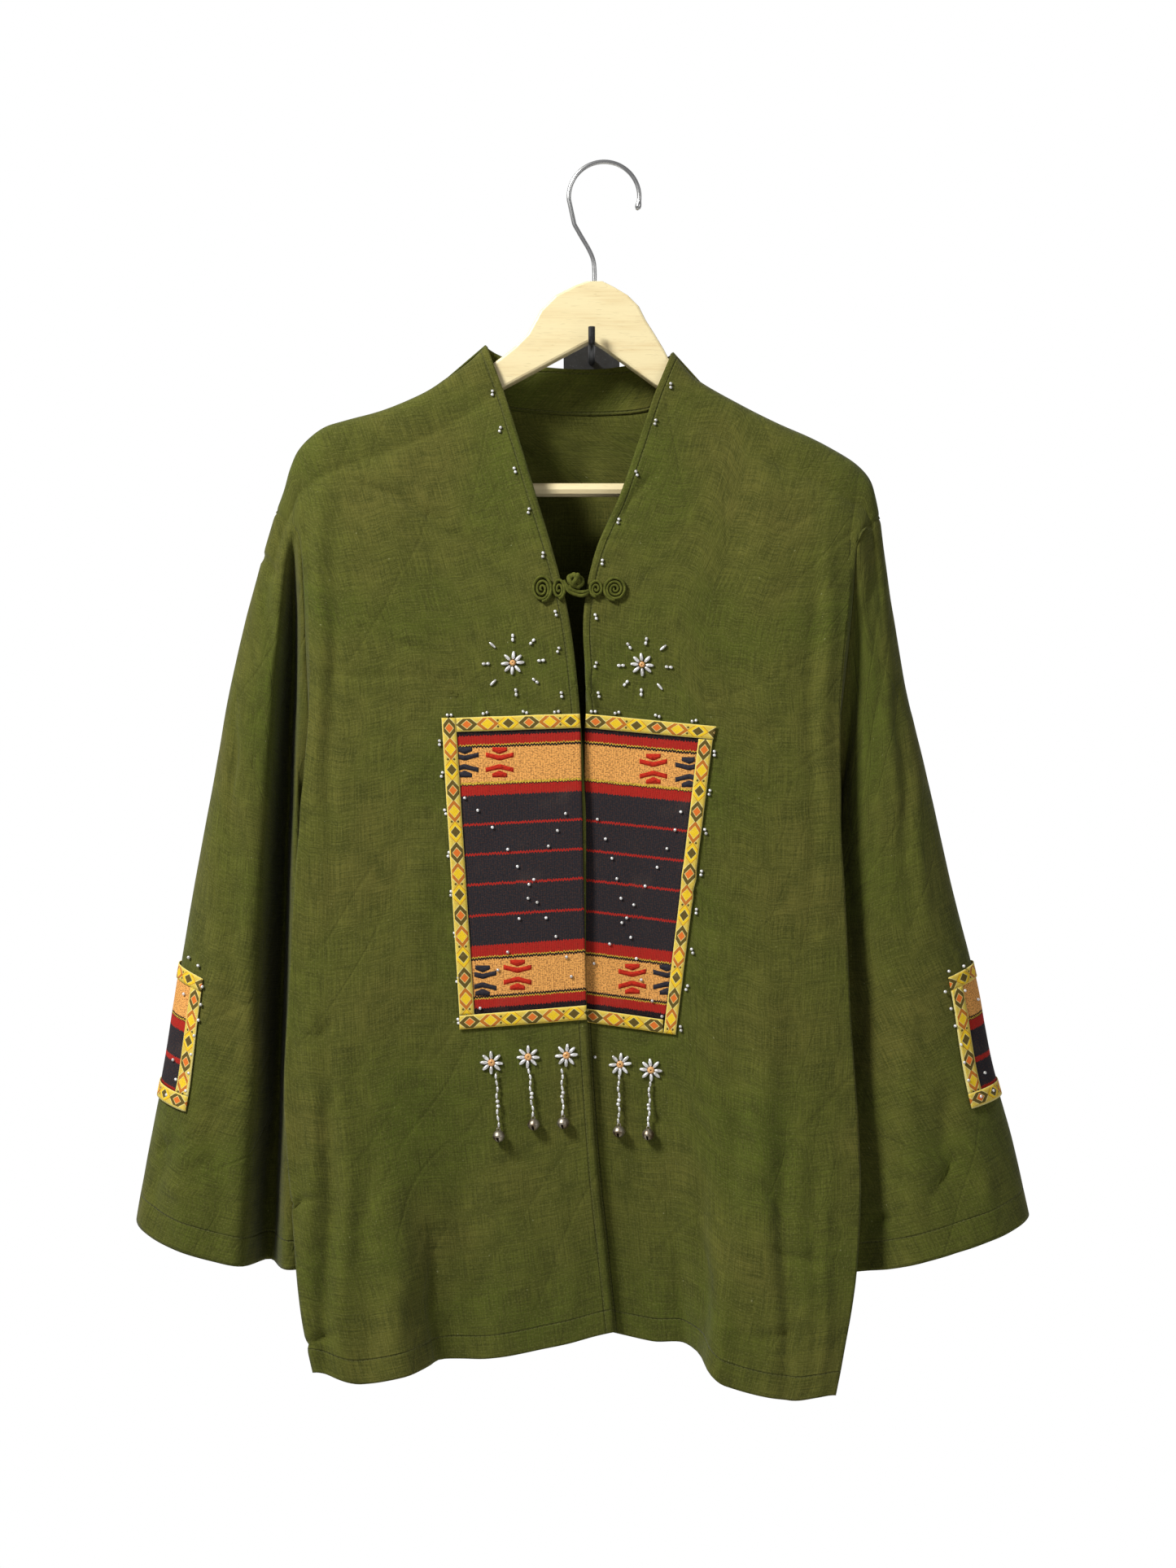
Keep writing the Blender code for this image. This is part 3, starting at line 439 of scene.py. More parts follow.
class Cloth:
    """A piece of cloth: rows of points along its middle, in mm, with the normals of its outer side."""

    def __init__(self, points, outward, closed=False):
        self.points = points
        self.outward = outward
        self.closed = closed
        self.measure()

    def measure(self):
        """Works out the normals, and how far each point is along its row and down its column."""
        down = np.gradient(self.points, axis=0)
        across = np.gradient(self.points, axis=1)
        if self.closed:
            across[:, 0] = across[:, -1] = (self.points[:, 1] - self.points[:, -2]) / 2
        normals = np.cross(down, across) * self.outward
        self.normals = normals / np.linalg.norm(normals, axis=2, keepdims=True)
        steps = np.linalg.norm(np.diff(self.points, axis=1), axis=2)
        self.across = np.pad(np.cumsum(steps, axis=1), ((0, 0), (1, 0)))
        steps = np.linalg.norm(np.diff(self.points, axis=0), axis=2)
        self.down = np.pad(np.cumsum(steps, axis=0), ((1, 0), (0, 0)))

    def to_edge(self, edge):
        """How far every point is from an edge: top, bottom, start or finish."""
        return {
            "top": self.down,
            "bottom": self.down[-1] - self.down,
            "start": self.across,
            "finish": self.across[:, -1:] - self.across,
        }[edge]

    def crease(self, lines, sewn, facing=0, ripple=0.5):
        """Pushes the cloth along its normals: listed soft creases, and slight waves.

        It lies still near its sewn edges, and dips a little at them. Facing -1 creases the front, 1 the back.
        """
        flat = self.points[..., [0, 2]]
        height = np.zeros(flat.shape[:2])
        for x0, z0, x1, z1, wide, high in lines:
            start, way = np.array((x0, z0), float), np.array((x1 - x0, z1 - z0), float)
            share = np.clip(((flat - start) @ way) / (way @ way), 0, 1)
            waver = 0.35 * wide * np.sin(share * 9 + x0)
            off = flat - start - share[..., None] * way
            side = (off @ np.array((-way[1], way[0]))) / np.linalg.norm(way)
            beyond = np.abs(off @ way) / np.linalg.norm(way)
            distance = np.hypot(side - waver, beyond)
            taper = 0.5 + 0.8 * np.sin(math.pi * np.clip(share, 0.03, 0.97))
            pressed = SHARP if wide < FINE_CREASE else SOFT
            height += high * taper * pressed * np.exp(-((distance / wide) ** 2))
        if facing:
            height *= np.clip(0.5 + facing * self.normals[..., 1] * 2, 0, 1)
        for wave, share in WAVES:
            height += ripple * share * np.array(
                [[noise.noise(Vector(point * wave * (1, 1, 0.6))) for point in row] for row in self.points]
            )
        for edge in sewn:
            gap = self.to_edge(edge)
            height *= np.clip((gap - SEAM_FLAT) / SEAM_FREE, 0, 1)
            height -= SEAM_DIP * np.exp(-((gap / SEAM_WIDE) ** 2))
        self.points = self.points + self.normals * height[..., None]
        self.measure()

    def read(self, values, row, column):
        """Values at a place between the cloth's points."""
        i = min(max(int(row), 0), len(values) - 2)
        j = min(max(int(column), 0), len(values[0]) - 2)
        a, b = row - i, column - j
        upper = values[i, j] * (1 - b) + values[i, j + 1] * b
        lower = values[i + 1, j] * (1 - b) + values[i + 1, j + 1] * b
        return upper * (1 - a) + lower * a

    def off(self, row, column, height):
        """A point this high off the outer side of the cloth's middle."""
        return self.read(self.points, row, column) + unit(self.read(self.normals, row, column)) * height

    def find(self, x, z):
        """The row and column that lie at x, z in the view from the front."""
        hidden = self.normals[..., 1] > -0.05
        miss = np.hypot(self.points[..., 0] - x, self.points[..., 2] - z) + 1000 * hidden
        row, column = (float(v) for v in np.unravel_index(miss.argmin(), miss.shape))
        for _ in range(4):
            here = self.read(self.points, row, column)
            by_row = self.read(self.points, row + 0.5, column) - self.read(self.points, row - 0.5, column)
            by_column = self.read(self.points, row, column + 0.5) - self.read(self.points, row, column - 0.5)
            slopes = np.array([[by_row[0], by_column[0]], [by_row[2], by_column[2]]])
            step = np.clip(np.linalg.solve(slopes, (x - here[0], z - here[2])), -2, 2)
            row += step[0]
            column += step[1]
        return row, column

    def at(self, x, z, height):
        return self.off(*self.find(x, z), height)


def read(table, at):
    """Values of a table whose first column is a number, read on a smooth curve through its rows."""
    rows = np.asarray(table, float)
    return smooth(rows[:, 1:], np.interp(at, rows[:, 0], range(len(rows))))


def ease(part):
    part = min(max(part, 0.0), 1.0)
    return part * part * (3 - 2 * part)


def finer(numbers, times):
    """These numbers, with more between them."""
    return np.interp(np.arange((len(numbers) - 1) * times + 1) / times, range(len(numbers)), numbers)


def over_hanger(top, below, row):
    """The cloth's turn over the hanger, from its top edge to the first row below: out first, then down."""
    down = (1 - math.cos(row * math.pi / 2)) ** 1.2
    out = math.sin(row * math.pi / 2) ** 0.7
    return top + (below - top) * np.array([down, out, down])


def shoulder_share(row):
    """How much of the shoulder's own line is left at a row."""
    return max(0, 1 - (row / SHOULDER_ROWS) ** 2) ** 2


def shoulder_point(side, across):
    x, z = read(SHOULDER[side], across)
    return np.array([x, HANGER_Y, z])


def tuck(fold, seam, turn):
    """A point between a side fold, turn 0, and the seam that is tucked in behind it, turn 1."""
    point = fold + (seam - fold) * turn
    point[0] = seam[0] + (fold[0] - seam[0]) * (1 - turn**1.3) ** 3
    return point


def front_base(side, row, across):
    """A point of a front before the shoulder's own line is added."""
    numbers = smooth(FRONT[side], row)
    inner, fold, seam = (numbers[k : k + 3][[0, 2, 1]] for k in (0, 3, 6))
    roll = FOLD_ROLL * min(row, 1)
    if across <= 1:
        point = inner + (fold - inner) * across
        down = row / (len(FRONT[side]) - 1)
        middle = 0.5 + (FLUTE_AT[side] - 0.5) * down
        width = 1 + (FLUTE_SOFT - 1) * down**1.5
        point[1] = inner[1] + (fold[1] - inner[1]) * ease((across - middle) / width + 0.5)
        point[1] += roll * max(0, (across - 0.88) / 0.12) ** 2
        point[2] -= read(HEM_DROP[side], across)[0] * max(0, (row - 12) / 2) ** 2
        return point
    turn = across - 1
    point = tuck(fold, seam, turn)
    point[1] += roll * (1 - turn)
    return point


def front_sheet(side):
    """A front's cloth, as rows of points from the open edge to the armhole and side seam."""
    sheet = np.zeros((len(fine_rows), len(fine_across), 3))
    for j, across in enumerate(fine_across):
        top = shoulder_point(side, across)
        from_base = top - front_base(side, 0, across)
        below = front_base(side, 1, across) + from_base * shoulder_share(1)
        for i, row in enumerate(fine_rows):
            if row < 1:
                sheet[i, j] = over_hanger(top, below, row)
            else:
                sheet[i, j] = front_base(side, row, across) + from_base * shoulder_share(row)
    return sheet


def cloth_map(finish):
    """The dye of the place on the cloth: X across it and Y down it."""
    return Dye(finish.node_tree).node("ShaderNodeUVMap", {"uv_map": "cloth"}, {})


def cotton(name, stitches):
    """Slubby olive cotton. A stitch line has two axes, the one across it and the one along it, and the place
    that it has on the first."""
    made, _ = new_finish(name, 0.95, Sheen_Weight=0.06, Sheen_Roughness=0.5, Specular_IOR_Level=0.12)
    weave = cloth_map(made)
    warp = weave.stretched(1500, 38, 1).clouds(1, 3)
    weft = weave.stretched(38, 1500, 1).clouds(1, 3)
    wash = weave.clouds(9, 4).rise(0.3, 0.7)
    blotch = weave.clouds(60, 3)
    pile = weave.clouds(700, 2)
    tone = wash.between((0.074, 0.094, 0.01), (0.116, 0.106, 0.02))
    yarns = (warp * 0.9 + weft * 0.9 + blotch * 0.5 - 0.65).rise(0.2, 0.85)
    tone = yarns.between((0.044, 0.048, 0.007), tone)
    tone = (pile.rise(0.45, 0.75) * 0.4).between(tone, (0.15, 0.145, 0.038))
    neps = weave.clouds(420, 0).rise(0.86, 0.89)
    tone = (neps * 0.4).between(tone, (0.3, 0.3, 0.14))
    relief = (warp + weft) * 0.5 + pile * 0.25 + blotch * 0.6
    for turn, scale, depth in ((0.9, 12, 0.8), (-0.6, 19, 0.6), (0.3, 30, 0.4)):
        values = {"Vector": weave, "Angle": turn}
        turned = weave.node("ShaderNodeVectorRotate", {"rotation_type": "Z_AXIS"}, values)
        folds = turned.stretched(1, 0.22, 1).clouds(scale)
        line = 1 - (abs(folds - 0.5) / 0.03).rise(0, 1)
        relief = relief + folds * depth * 5 - line * depth
    for axes, distance in stitches:
        away, along = weave.part(axes[0]), weave.part(axes[1])
        thread = (abs(away - distance) < 0.00035) * (along % 0.0034 < 0.0024)
        groove = 1 - (abs(away - distance) / 0.0011).rise(0, 1)
        # Painted shade: the cotton is darkened along the groove beside each stitch line; the thread then gets
        # its own lighter colour.
        tone = (groove * 0.3).between(tone, (0.025, 0.03, 0.004))
        tone = (thread * 0.45).between(tone, (0.14, 0.14, 0.035))
        relief = relief - groove * 1.6 + thread * 0.7 + (away < distance) * 0.9
    tone.onto("Base Color")
    relief.raised(0.0004)
    return made


def cloth_piece(name, sheet, finish, node):
    """A cloth as a shell of its real thickness, in place of its CAD piece."""
    down = sheet.to_edge("bottom")
    piece = grid_mesh(name, sheet.points, finish, sheet.across, down, closed=sheet.closed, thick=CLOTH)
    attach(piece, "root")
    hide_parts(node)
    return piece


fine_rows = finer(ROWS, FINE_DOWN)
fine_across = finer(ACROSS, FINE_ACROSS)
fronts = {}
front_edges = {}
for side, outward in (("left", -1), ("right", 1)):
    rough = front_sheet(side)
    front_edges[side] = rough[:, -1].copy()
    steps = range((len(rough) - 1) * CREASE_ROWS + 1)
    fronts[side] = Cloth(np.array([smooth(rough, k / CREASE_ROWS) for k in steps]), outward)
front_cotton = cotton("olive cotton front", (("XY", OPENING_STITCH), ("YX", HEM_STITCH)))
for side, sheet in fronts.items():
    sheet.crease(FRONT_CREASES[side], ("top", "finish"), ripple=0.55)
    piece = cloth_piece(f"front_{side}_cloth", sheet, front_cotton, f"front_{side}")


# Back and collar strip: one wide piece of the same cotton with a dropped shoulder, and a straight strip that
# stands up round the back neck, sewn to it and to the fronts' collar ends behind the hanger.

# Rows of the back, at the fronts' row numbers: z and y at the middle, y at its side folds
BACK = (
    (-45, -45, -70), (-78, -40, -50), (-108, -36, -38), (-142, -33, -34), (-182, -31, -32),
    (-230, -29, -31), (-283, -28, -30), (-324, -27, -27), (-342, -27, -27), (-394, -27, -24),
    (-462, -26, -24), (-530, -26, -24), (-596, -26, -24), (-656, -26, -24), (-712, -26, -24),
)
# How far the back's side folds lie inside the fronts', at row numbers
BACK_FOLD_IN = ((0, 0), (1, 6), (7, 6), (9, -9), (14, -9))
# The back neck from left to right: its seam to the back, then the top edge of the collar, each as x, z, y
NECK = (
    (-104, -24, -70, -76, 0, -70),
    (-101, -26, -60, -73, -1.5, -60),
    (-84, -36, -55, -62, -6, -55),
    (-60, -43, -50, -44, -10, -49),
    (-18, -46, -45, -18, -12, -44.5),
    (14, -46, -45, 8, -12, -44.5),
    (40, -44, -50, 28, -10, -49),
    (60, -37, -55, 45, -8, -55),
    (75, -29, -60, 55, -6, -60),
    (78, -27, -70, 58, -5, -70),
)
# Rows of NECK at which the columns of the back and the collar start
NECK_AT = (0, 1, 1.6, 2.3, 3, 3.7, 4.5, 5.3, 6, 6.7, 7.4, 8, 9)
COLLAR_STEPS = 16
NECK_STEPS = 6
BACK_CREASES = (
    (-22, -60, -20, -330, 6, 2.8), (-4, -70, -3, -400, 6, -2.4), (12, -90, 16, -300, 8, 2.0),
    (-90, -50, -110, -400, 10, 1.6), (76, -50, 96, -420, 11, 1.5), (-150, -120, -60, -190, 5, -1.2),
    (140, -140, 60, -210, 5, -1.2), (-150, -330, -30, -380, 6, 0.9), (150, -345, 20, -400, 6, 0.9),
    (-176, -380, -186, -735, 9, 2.2), (-150, -450, -156, -735, 10, -2.0), (-110, -430, -118, -735, 12, 2.0),
    (-66, -480, -70, -730, 11, -1.8), (-20, -440, -24, -725, 13, 1.8), (24, -500, 26, -725, 10, -1.6),
    (64, -430, 70, -730, 13, 2.0), (104, -480, 112, -735, 10, -2.0), (140, -400, 150, -740, 9, 2.0),
)
COLLAR_CREASES = ((-30, -12, -26, -44, 6, 0.5), (6, -12, 10, -44, 7, -0.4))


def neck_points(at):
    """The seam's point and the top edge's point of the back collar at a number along the neck."""
    numbers = smooth(NECK, np.interp(at, range(len(NECK_AT)), NECK_AT))
    return numbers[[0, 2, 1]], numbers[[3, 5, 4]]


def back_fold(side, row):
    """The back's side fold, behind the front's."""
    x, z = smooth(FRONT[side], row)[3:5]
    inward = np.interp(row, *zip(*BACK_FOLD_IN))
    return np.array([x + inward if side == "left" else x - inward, smooth(BACK, row)[2], z])


def back_seam(side, row):
    """The back's edge: the armhole mirrored about the hanger's plane, then the side seam of the front."""
    x, z, y = smooth(FRONT[side], row)[6:9]
    if row < UNDERARM:
        y = 2 * HANGER_Y - y
    return np.array([x, y, z])


def back_base(row, share):
    """A point of the back between its side folds, share 0 at the left one and 1 at the right one."""
    left, right = back_fold("left", row), back_fold("right", row)
    point = left + (right - left) * share
    middle_z, middle_y, _ = smooth(BACK, row)
    away = abs(2 * share - 1)
    point[2] = middle_z + (point[2] - middle_z) * away**1.5
    point[1] = middle_y + (point[1] - middle_y) * away**2
    return point


def back_sheet():
    beyond = [a for a in fine_across if a >= NECK_POINT - 1e-6]
    neck = finer(range(len(NECK_AT)), 3)[1:-1]
    columns = [("left", a, shoulder_point("left", a)) for a in reversed(beyond)]
    columns += [("", k, neck_points(k)[0]) for k in neck]
    columns += [("right", a, shoulder_point("right", a)) for a in beyond]
    left, right = back_fold("left", 0)[0], back_fold("right", 0)[0]
    sheet = np.zeros((len(fine_rows), len(columns), 3))
    first = list(fine_rows).index(1)
    for j, (side, across, top) in enumerate(columns):
        share = (top[0] - left) / (right - left)
        if side and across > 1:
            base = [tuck(back_fold(side, r), back_seam(side, r), across - 1) for r in fine_rows]
        else:
            base = [back_base(r, share) for r in fine_rows]
        from_base = top - base[0]
        hanging = 0 if side else math.sin(math.pi * across / (len(NECK_AT) - 1))
        below = base[first] + from_base * shoulder_share(1)
        for i, row in enumerate(fine_rows):
            if row >= 1:
                sheet[i, j] = base[i] + from_base * shoulder_share(row)
            else:
                turning = over_hanger(top, below, row)
                sheet[i, j] = turning + (top + (below - top) * row - turning) * hanging
    return sheet


back = Cloth(back_sheet(), 1)
back_edges = {"left": back.points[:, 0].copy(), "right": back.points[:, -1].copy()}
back.crease(BACK_CREASES, ("top", "start", "finish"), ripple=0.7)
back_cotton = cotton("olive cotton back", (("YX", HEM_STITCH),))
piece = cloth_piece("back_cloth", back, back_cotton, "back")

strip = np.zeros((COLLAR_STEPS + 1, (len(NECK_AT) - 1) * NECK_STEPS + 1, 3))
for j in range(strip.shape[1]):
    seam, top = neck_points(j / NECK_STEPS)
    for i in range(COLLAR_STEPS + 1):
        strip[i, j] = top + (seam - top) * i / COLLAR_STEPS
collar = Cloth(strip, 1)
collar.crease(COLLAR_CREASES, ("start", "finish"), ripple=0.25)
collar_cotton = cotton("olive cotton collar", (("YX", 0.002), ("YX", 0.031)))
piece = cloth_piece("collar_cloth", collar, collar_cotton, "back_collar")


# Sleeves: each is one folded piece of the cotton, set on to the dropped armhole and seamed under the arm. It
# hangs beside the body's side fold, on the left with a deep fold between, and flares to a 20 mm hem.

# In metres from the cuff's edge
CUFF_STITCH = 0.020
# Sections from the armhole to the cuff: the outer edge and the inner edge as x, z, then the middle in depth
# and half the depth
SLEEVE = {
    "left": (
        (-227, -121, -197, -332, -70, 27), (-236, -150, -206, -335, -70, 26),
        (-249, -197, -206, -350, -71, 28), (-262, -256, -204, -378, -72, 32),
        (-273, -326, -202, -412, -72, 35), (-286, -397, -200, -450, -73, 37),
        (-296, -456, -198, -492, -74, 39), (-305, -514, -196, -540, -76, 42),
        (-316, -573, -195, -598, -78, 44), (-325, -626, -194, -655, -80, 46),
    ),
    "right": (
        (207, -125, 168, -332, -70, 27), (211, -156, 177, -335, -70, 25), (217, -197, 176, -350, -71, 28),
        (227, -256, 175, -378, -72, 32), (244, -326, 174, -412, -72, 35), (260, -397, 174, -450, -73, 37),
        (275, -456, 175, -492, -74, 39), (286, -514, 174, -540, -76, 42), (302, -573, 174, -600, -78, 44),
        (313, -623, 175, -662, -80, 46),
    ),
}
# The right sleeve's shallow valley beside the body: place across, half width, and depth at each section
VALLEY_AT = 0.86
VALLEY_SOFT = 0.08
VALLEY = ((0,), (0,), (2,), (3,), (4,), (5,), (6,), (6,), (6,), (6,))
# The left sleeve's deep fold beside the body: how far down, its x, half width and depth
DEEP_FOLD = (
    (130, -212, 3.5, 0), (165, -214, 4.0, 15), (200, -215, 4.5, 26), (250, -217.5, 5.5, 36),
    (300, -220, 6.0, 42), (350, -222, 6.5, 47), (450, -225, 7.5, 50), (550, -228, 8.5, 50),
    (660, -231, 9.5, 40),
)
CUFF_DROP = {"left": 12.0, "right": 6.0}
# From this section on, the rings no longer follow the armhole
SETTLED_AT = 2.5
# Rings to each step of the section numbers
RING_STEPS = 10
SLEEVE_ROWS = (0, 0.35, 0.9, 1.6, 2.5, 3.5, 4.6, 5.8, 6.6, 7.4, 8.2, 9)
# Soft creases, in the view from the front, and on the hidden back
SLEEVE_CREASES = {
    "left": (
        (-254, -262, -256, -340, 3, -0.9), (-311, -579, -294, -567, 2.4, -1.0),
        (-291, -592, -268, -579, 2.4, -0.9), (-300, -600, -280, -606, 2.4, 0.8),
        (-236, -170, -226, -230, 4, -1.0), (-240, -150, -222, -168, 2.6, -0.9),
        (-262, -300, -270, -520, 9, 1.2), (-244, -330, -240, -600, 7, 1.8),
        (-262, -520, -262, -650, 8, -1.6), (-284, -540, -288, -640, 8, 1.6),
        (-302, -570, -312, -628, 6, -1.6), (-236, -560, -232, -655, 6, -1.2),
    ),
    "right": (
        (208, -209, 215, -349, 5, 1.4), (226, -273, 236, -425, 6, 1.4), (218, -250, 226, -420, 5, -1.0),
        (192, -626, 215, -619, 2.6, -1.0), (238, -607, 257, -577, 2.6, -1.0),
        (200, -150, 200, -215, 5, -1.2), (205, -440, 207, -650, 8, -1.6), (222, -470, 228, -650, 8, 1.8),
        (246, -520, 256, -640, 7, -1.8), (268, -560, 284, -630, 7, 1.6), (190, -500, 188, -655, 6, 1.4),
    ),
}
SLEEVE_BACK_CREASES = {
    "left": (
        (-235, -200, -262, -420, 9, 1.6), (-216, -240, -236, -480, 8, -1.6),
        (-280, -440, -296, -630, 9, 1.8), (-252, -470, -258, -645, 9, -1.8),
        (-226, -500, -226, -650, 8, 1.6),
    ),
    "right": (
        (206, -200, 238, -430, 9, 1.6), (188, -250, 206, -480, 8, -1.6), (262, -460, 284, -630, 9, 1.8),
        (236, -480, 246, -645, 9, -1.8), (202, -500, 206, -650, 8, 1.6),
    ),
}


def sleeve_oval(side, row, angle):
    """A plain section of a sleeve: angle 0 at its outer edge, half a turn at its inner edge, front first."""
    outer_x, outer_z, inner_x, inner_z, middle_y, deep = smooth(SLEEVE[side], row)
    along = (1 - math.cos(angle)) / 2
    front = math.sin(angle)
    depth = deep * math.copysign(abs(front) ** 0.75, front)
    if front > 0 and side == "right":
        depth -= smooth(VALLEY, row)[0] * math.exp(-(((along - VALLEY_AT) / VALLEY_SOFT) ** 2))
    drop = CUFF_DROP[side] * abs(front) * (row / (len(SLEEVE[side]) - 1)) ** 4
    x = outer_x + (inner_x - outer_x) * along
    z = outer_z + (inner_z - outer_z) * along
    return np.array([x, middle_y - depth, z - drop])


def sleeve_sheet(side):
    """A sleeve as rings of points, each from the underarm seam over the front and round to it again."""
    last = ROWS.index(UNDERARM)
    front_hole = front_edges[side][: last * FINE_DOWN + 1]
    back_hole = back_edges[side][: last * FINE_DOWN + 1]
    coarse = front_hole[::FINE_DOWN]
    lengths = np.linalg.norm(np.diff(coarse, axis=0), axis=1)
    shares = finer(np.concatenate([[0], np.cumsum(lengths)]) / lengths.sum(), FINE_DOWN)
    hole = np.concatenate([front_hole, back_hole[-2::-1]])
    hole_angles = np.concatenate([shares * math.pi, 2 * math.pi - shares[-2::-1] * math.pi])
    even = np.linspace(0, 2 * math.pi, len(hole))
    rows = finer(SLEEVE_ROWS, RING_STEPS)
    sheet = np.zeros((len(rows), len(hole), 3))
    for i, row in enumerate(rows):
        settled = ease(row / SETTLED_AT)
        for k, angle in enumerate(hole_angles + (even - hole_angles) * settled):
            from_oval = hole[k] - sleeve_oval(side, 0, hole_angles[k])
            point = sleeve_oval(side, row, angle) + from_oval * (1 - settled)
            if side == "left" and angle < math.pi:
                fold_x, half, deep = read(DEEP_FOLD, -point[2])
                near = math.exp(-(((point[0] - fold_x) / half) ** 2))
                point[1] += deep * near * min(1, 2 * math.sin(angle))
            sheet[i, k] = point
    half = len(hole) // 2
    return np.concatenate([sheet[:, half:-1], sheet[:, : half + 1]], axis=1)


sleeve_cotton = cotton("olive cotton sleeve", (("YX", CUFF_STITCH),))
sleeves = {}
for side, outward in (("left", 1), ("right", -1)):
    sheet = Cloth(sleeve_sheet(side), outward, closed=True)
    sheet.crease(SLEEVE_CREASES[side], ("top",), facing=-1, ripple=0.0)
    sheet.crease(SLEEVE_BACK_CREASES[side], (), facing=1, ripple=0.6)
    sheet.points[:, -1] = sheet.points[:, 0]
    sleeves[side] = sheet
    piece = cloth_piece(f"sleeve_{side}_cloth", sheet, sleeve_cotton, f"sleeve_{side}")


# Woven panels: one on each front, in a weft-faced striped weave of red, tan and charcoal wool on a fine dark
# warp. Their edges lie under the ribbons that frame them, and they are sewn down all round.

PANEL_THICK = 0.8
PANEL_HEIGHT = CLOTH / 2 + 0.2 + PANEL_THICK / 2
PANEL_CROWN = 0.25
# In metres, for the size of the weave
PANEL_TALL = 0.196
# Corners as x, z, from the top left one round
PANELS = {
    "left": ((-96, -279.2), (-7.9, -276.0), (-3.8, -472.8), (-83.2, -479.2)),
    "right": ((-5.0, -275.9), (76.2, -283.4), (52, -483.2), (-6.6, -475.4)),
}
RED = (0.42, 0.02, 0.014)
TAN = (0.88, 0.42, 0.11)
YELLOW = (0.7, 0.47, 0.05)
CHARCOAL = (0.024, 0.023, 0.027)
BLACK = (0.012, 0.01, 0.013)
# Where each stripe begins, as a share of the panel's height from its top
PANEL_STRIPES = (
    (0, BLACK), (0.016, RED), (0.048, YELLOW), (0.053, BLACK), (0.06, TAN), (0.183, YELLOW), (0.188, BLACK),
    (0.194, RED), (0.23, CHARCOAL), (0.325, RED), (0.334, CHARCOAL), (0.431, RED), (0.44, CHARCOAL),
    (0.536, RED), (0.545, CHARCOAL), (0.647, RED), (0.656, CHARCOAL), (0.757, RED), (0.794, YELLOW),
    (0.799, BLACK), (0.806, TAN), (0.933, BLACK), (0.94, YELLOW), (0.945, RED), (0.976, BLACK),
)


def weave(name, stripes, tall):
    """Weft-faced wool in stripes, where the map's V runs down the cloth from 0 to 1 over this many metres."""
    made, _ = new_finish(name, 0.95, Specular_IOR_Level=0.1)
    cloth = cloth_map(made)
    across, down = cloth.part("X"), cloth.part("Y")
    picks = cloth.stretched(260, tall * 3600, 1).clouds(1, 2)
    wander = (cloth.stretched(420, tall * 60, 1).clouds(1, 1) - 0.5) * (0.0016 / tall)
    twist = across.maths("SINE", across * (2 * math.pi / 0.0021)) * (0.0004 / tall)
    stripe = down.node("ShaderNodeValToRGB", {"stops": stripes}, {0: down + wander + twist})
    wool = cloth.stretched(620, tall * 1100, 1).clouds(1, 3)
    pale = stripe.part("X") > 0.6
    shade = cloth.stretched(30, 30 * tall, 1).clouds(1, 3)
    tone = (wool.rise(0.48, 0.6) * (pale * 0.45 + 0.15)).between(stripe, (0.2, 0.07, 0.025))
    tone = ((1 - picks.rise(0.25, 0.5)) * 0.5).between(tone, (0.012, 0.008, 0.008))
    tone = (shade.rise(0.55, 0.8) * 0.12).between(tone, (0.2, 0.14, 0.1))
    ribs = abs(across.maths("SINE", across * (math.pi / 0.0011)))
    tone = ((1 - ribs.rise(0.05, 0.45)) * 0.5).between(tone, (0.007, 0.006, 0.007))
    tone.onto("Base Color")
    (ribs * 0.6 + picks * 0.6 + wool * 0.3).raised(0.00032)
    return made


def skin(name, sheet, corners, height, finish, thick, crown=0.0, along="down", share=False):
    """A piece of cloth laid on another: its corners as x, z, from the top left one round.

    Its middle stands proud of its edges by crown. The map's V runs along it, in metres or as a share.
    """
    a, b, c, d = (np.array(corner, float) for corner in corners)
    rows = max(4, round(np.linalg.norm(d - a) / 2))
    columns = max(4, round(np.linalg.norm(b - a) / 2))
    points = np.zeros((rows + 1, columns + 1, 3))
    for i in range(rows + 1):
        for j in range(columns + 1):
            u, v = j / columns, i / rows
            x, z = (a * (1 - u) + b * u) * (1 - v) + (d * (1 - u) + c * u) * v
            bulge = crown * (1 - (2 * u - 1) ** 4) * (1 - (2 * v - 1) ** 4)
            points[i, j] = sheet.at(x, z, height + bulge)
    v, u = np.meshgrid(np.arange(rows + 1) / rows, np.arange(columns + 1) / columns, indexing="ij")
    laid = {"down": (u * np.linalg.norm(b - a), v * np.linalg.norm(d - a))}
    laid["across"] = laid["down"][::-1]
    across, down = laid[along]
    if share:
        down = down / down.max() / MM
    piece = grid_mesh(name, points, finish, across, down, thick=thick)
    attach(piece, "root")
    return piece


panel_weave = weave("striped weave", PANEL_STRIPES, PANEL_TALL)
for side, corners in PANELS.items():
    sheet, name = fronts[side], f"panel_{side}"
    piece = skin(name, sheet, corners, PANEL_HEIGHT, panel_weave, PANEL_THICK, PANEL_CROWN, share=True)
    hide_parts(f"woven_panel_{side}")


# Motifs of the panels: blocks of thick red and charcoal weft, laid in over the tan stripes as it is woven.
# Each is a block with a point and a chevron below it, and the same again upside down.

WEFT_THICK = 0.5
MOTIF_HEIGHT = PANEL_HEIGHT + 0.55
# Parts of the upper half: x, then the upper and the lower edge there, above the motif's middle
MOTIF = (
    ((-5.2, 10.6, 7.9), (0, 10.6, 5.7), (5.2, 10.6, 7.9)),
    ((-9.8, 7.1, 3.7), (-6.5, 6.2, 3.0), (0, 4.8, 1.1), (6.5, 6.2, 3.0), (9.8, 7.1, 3.7)),
)
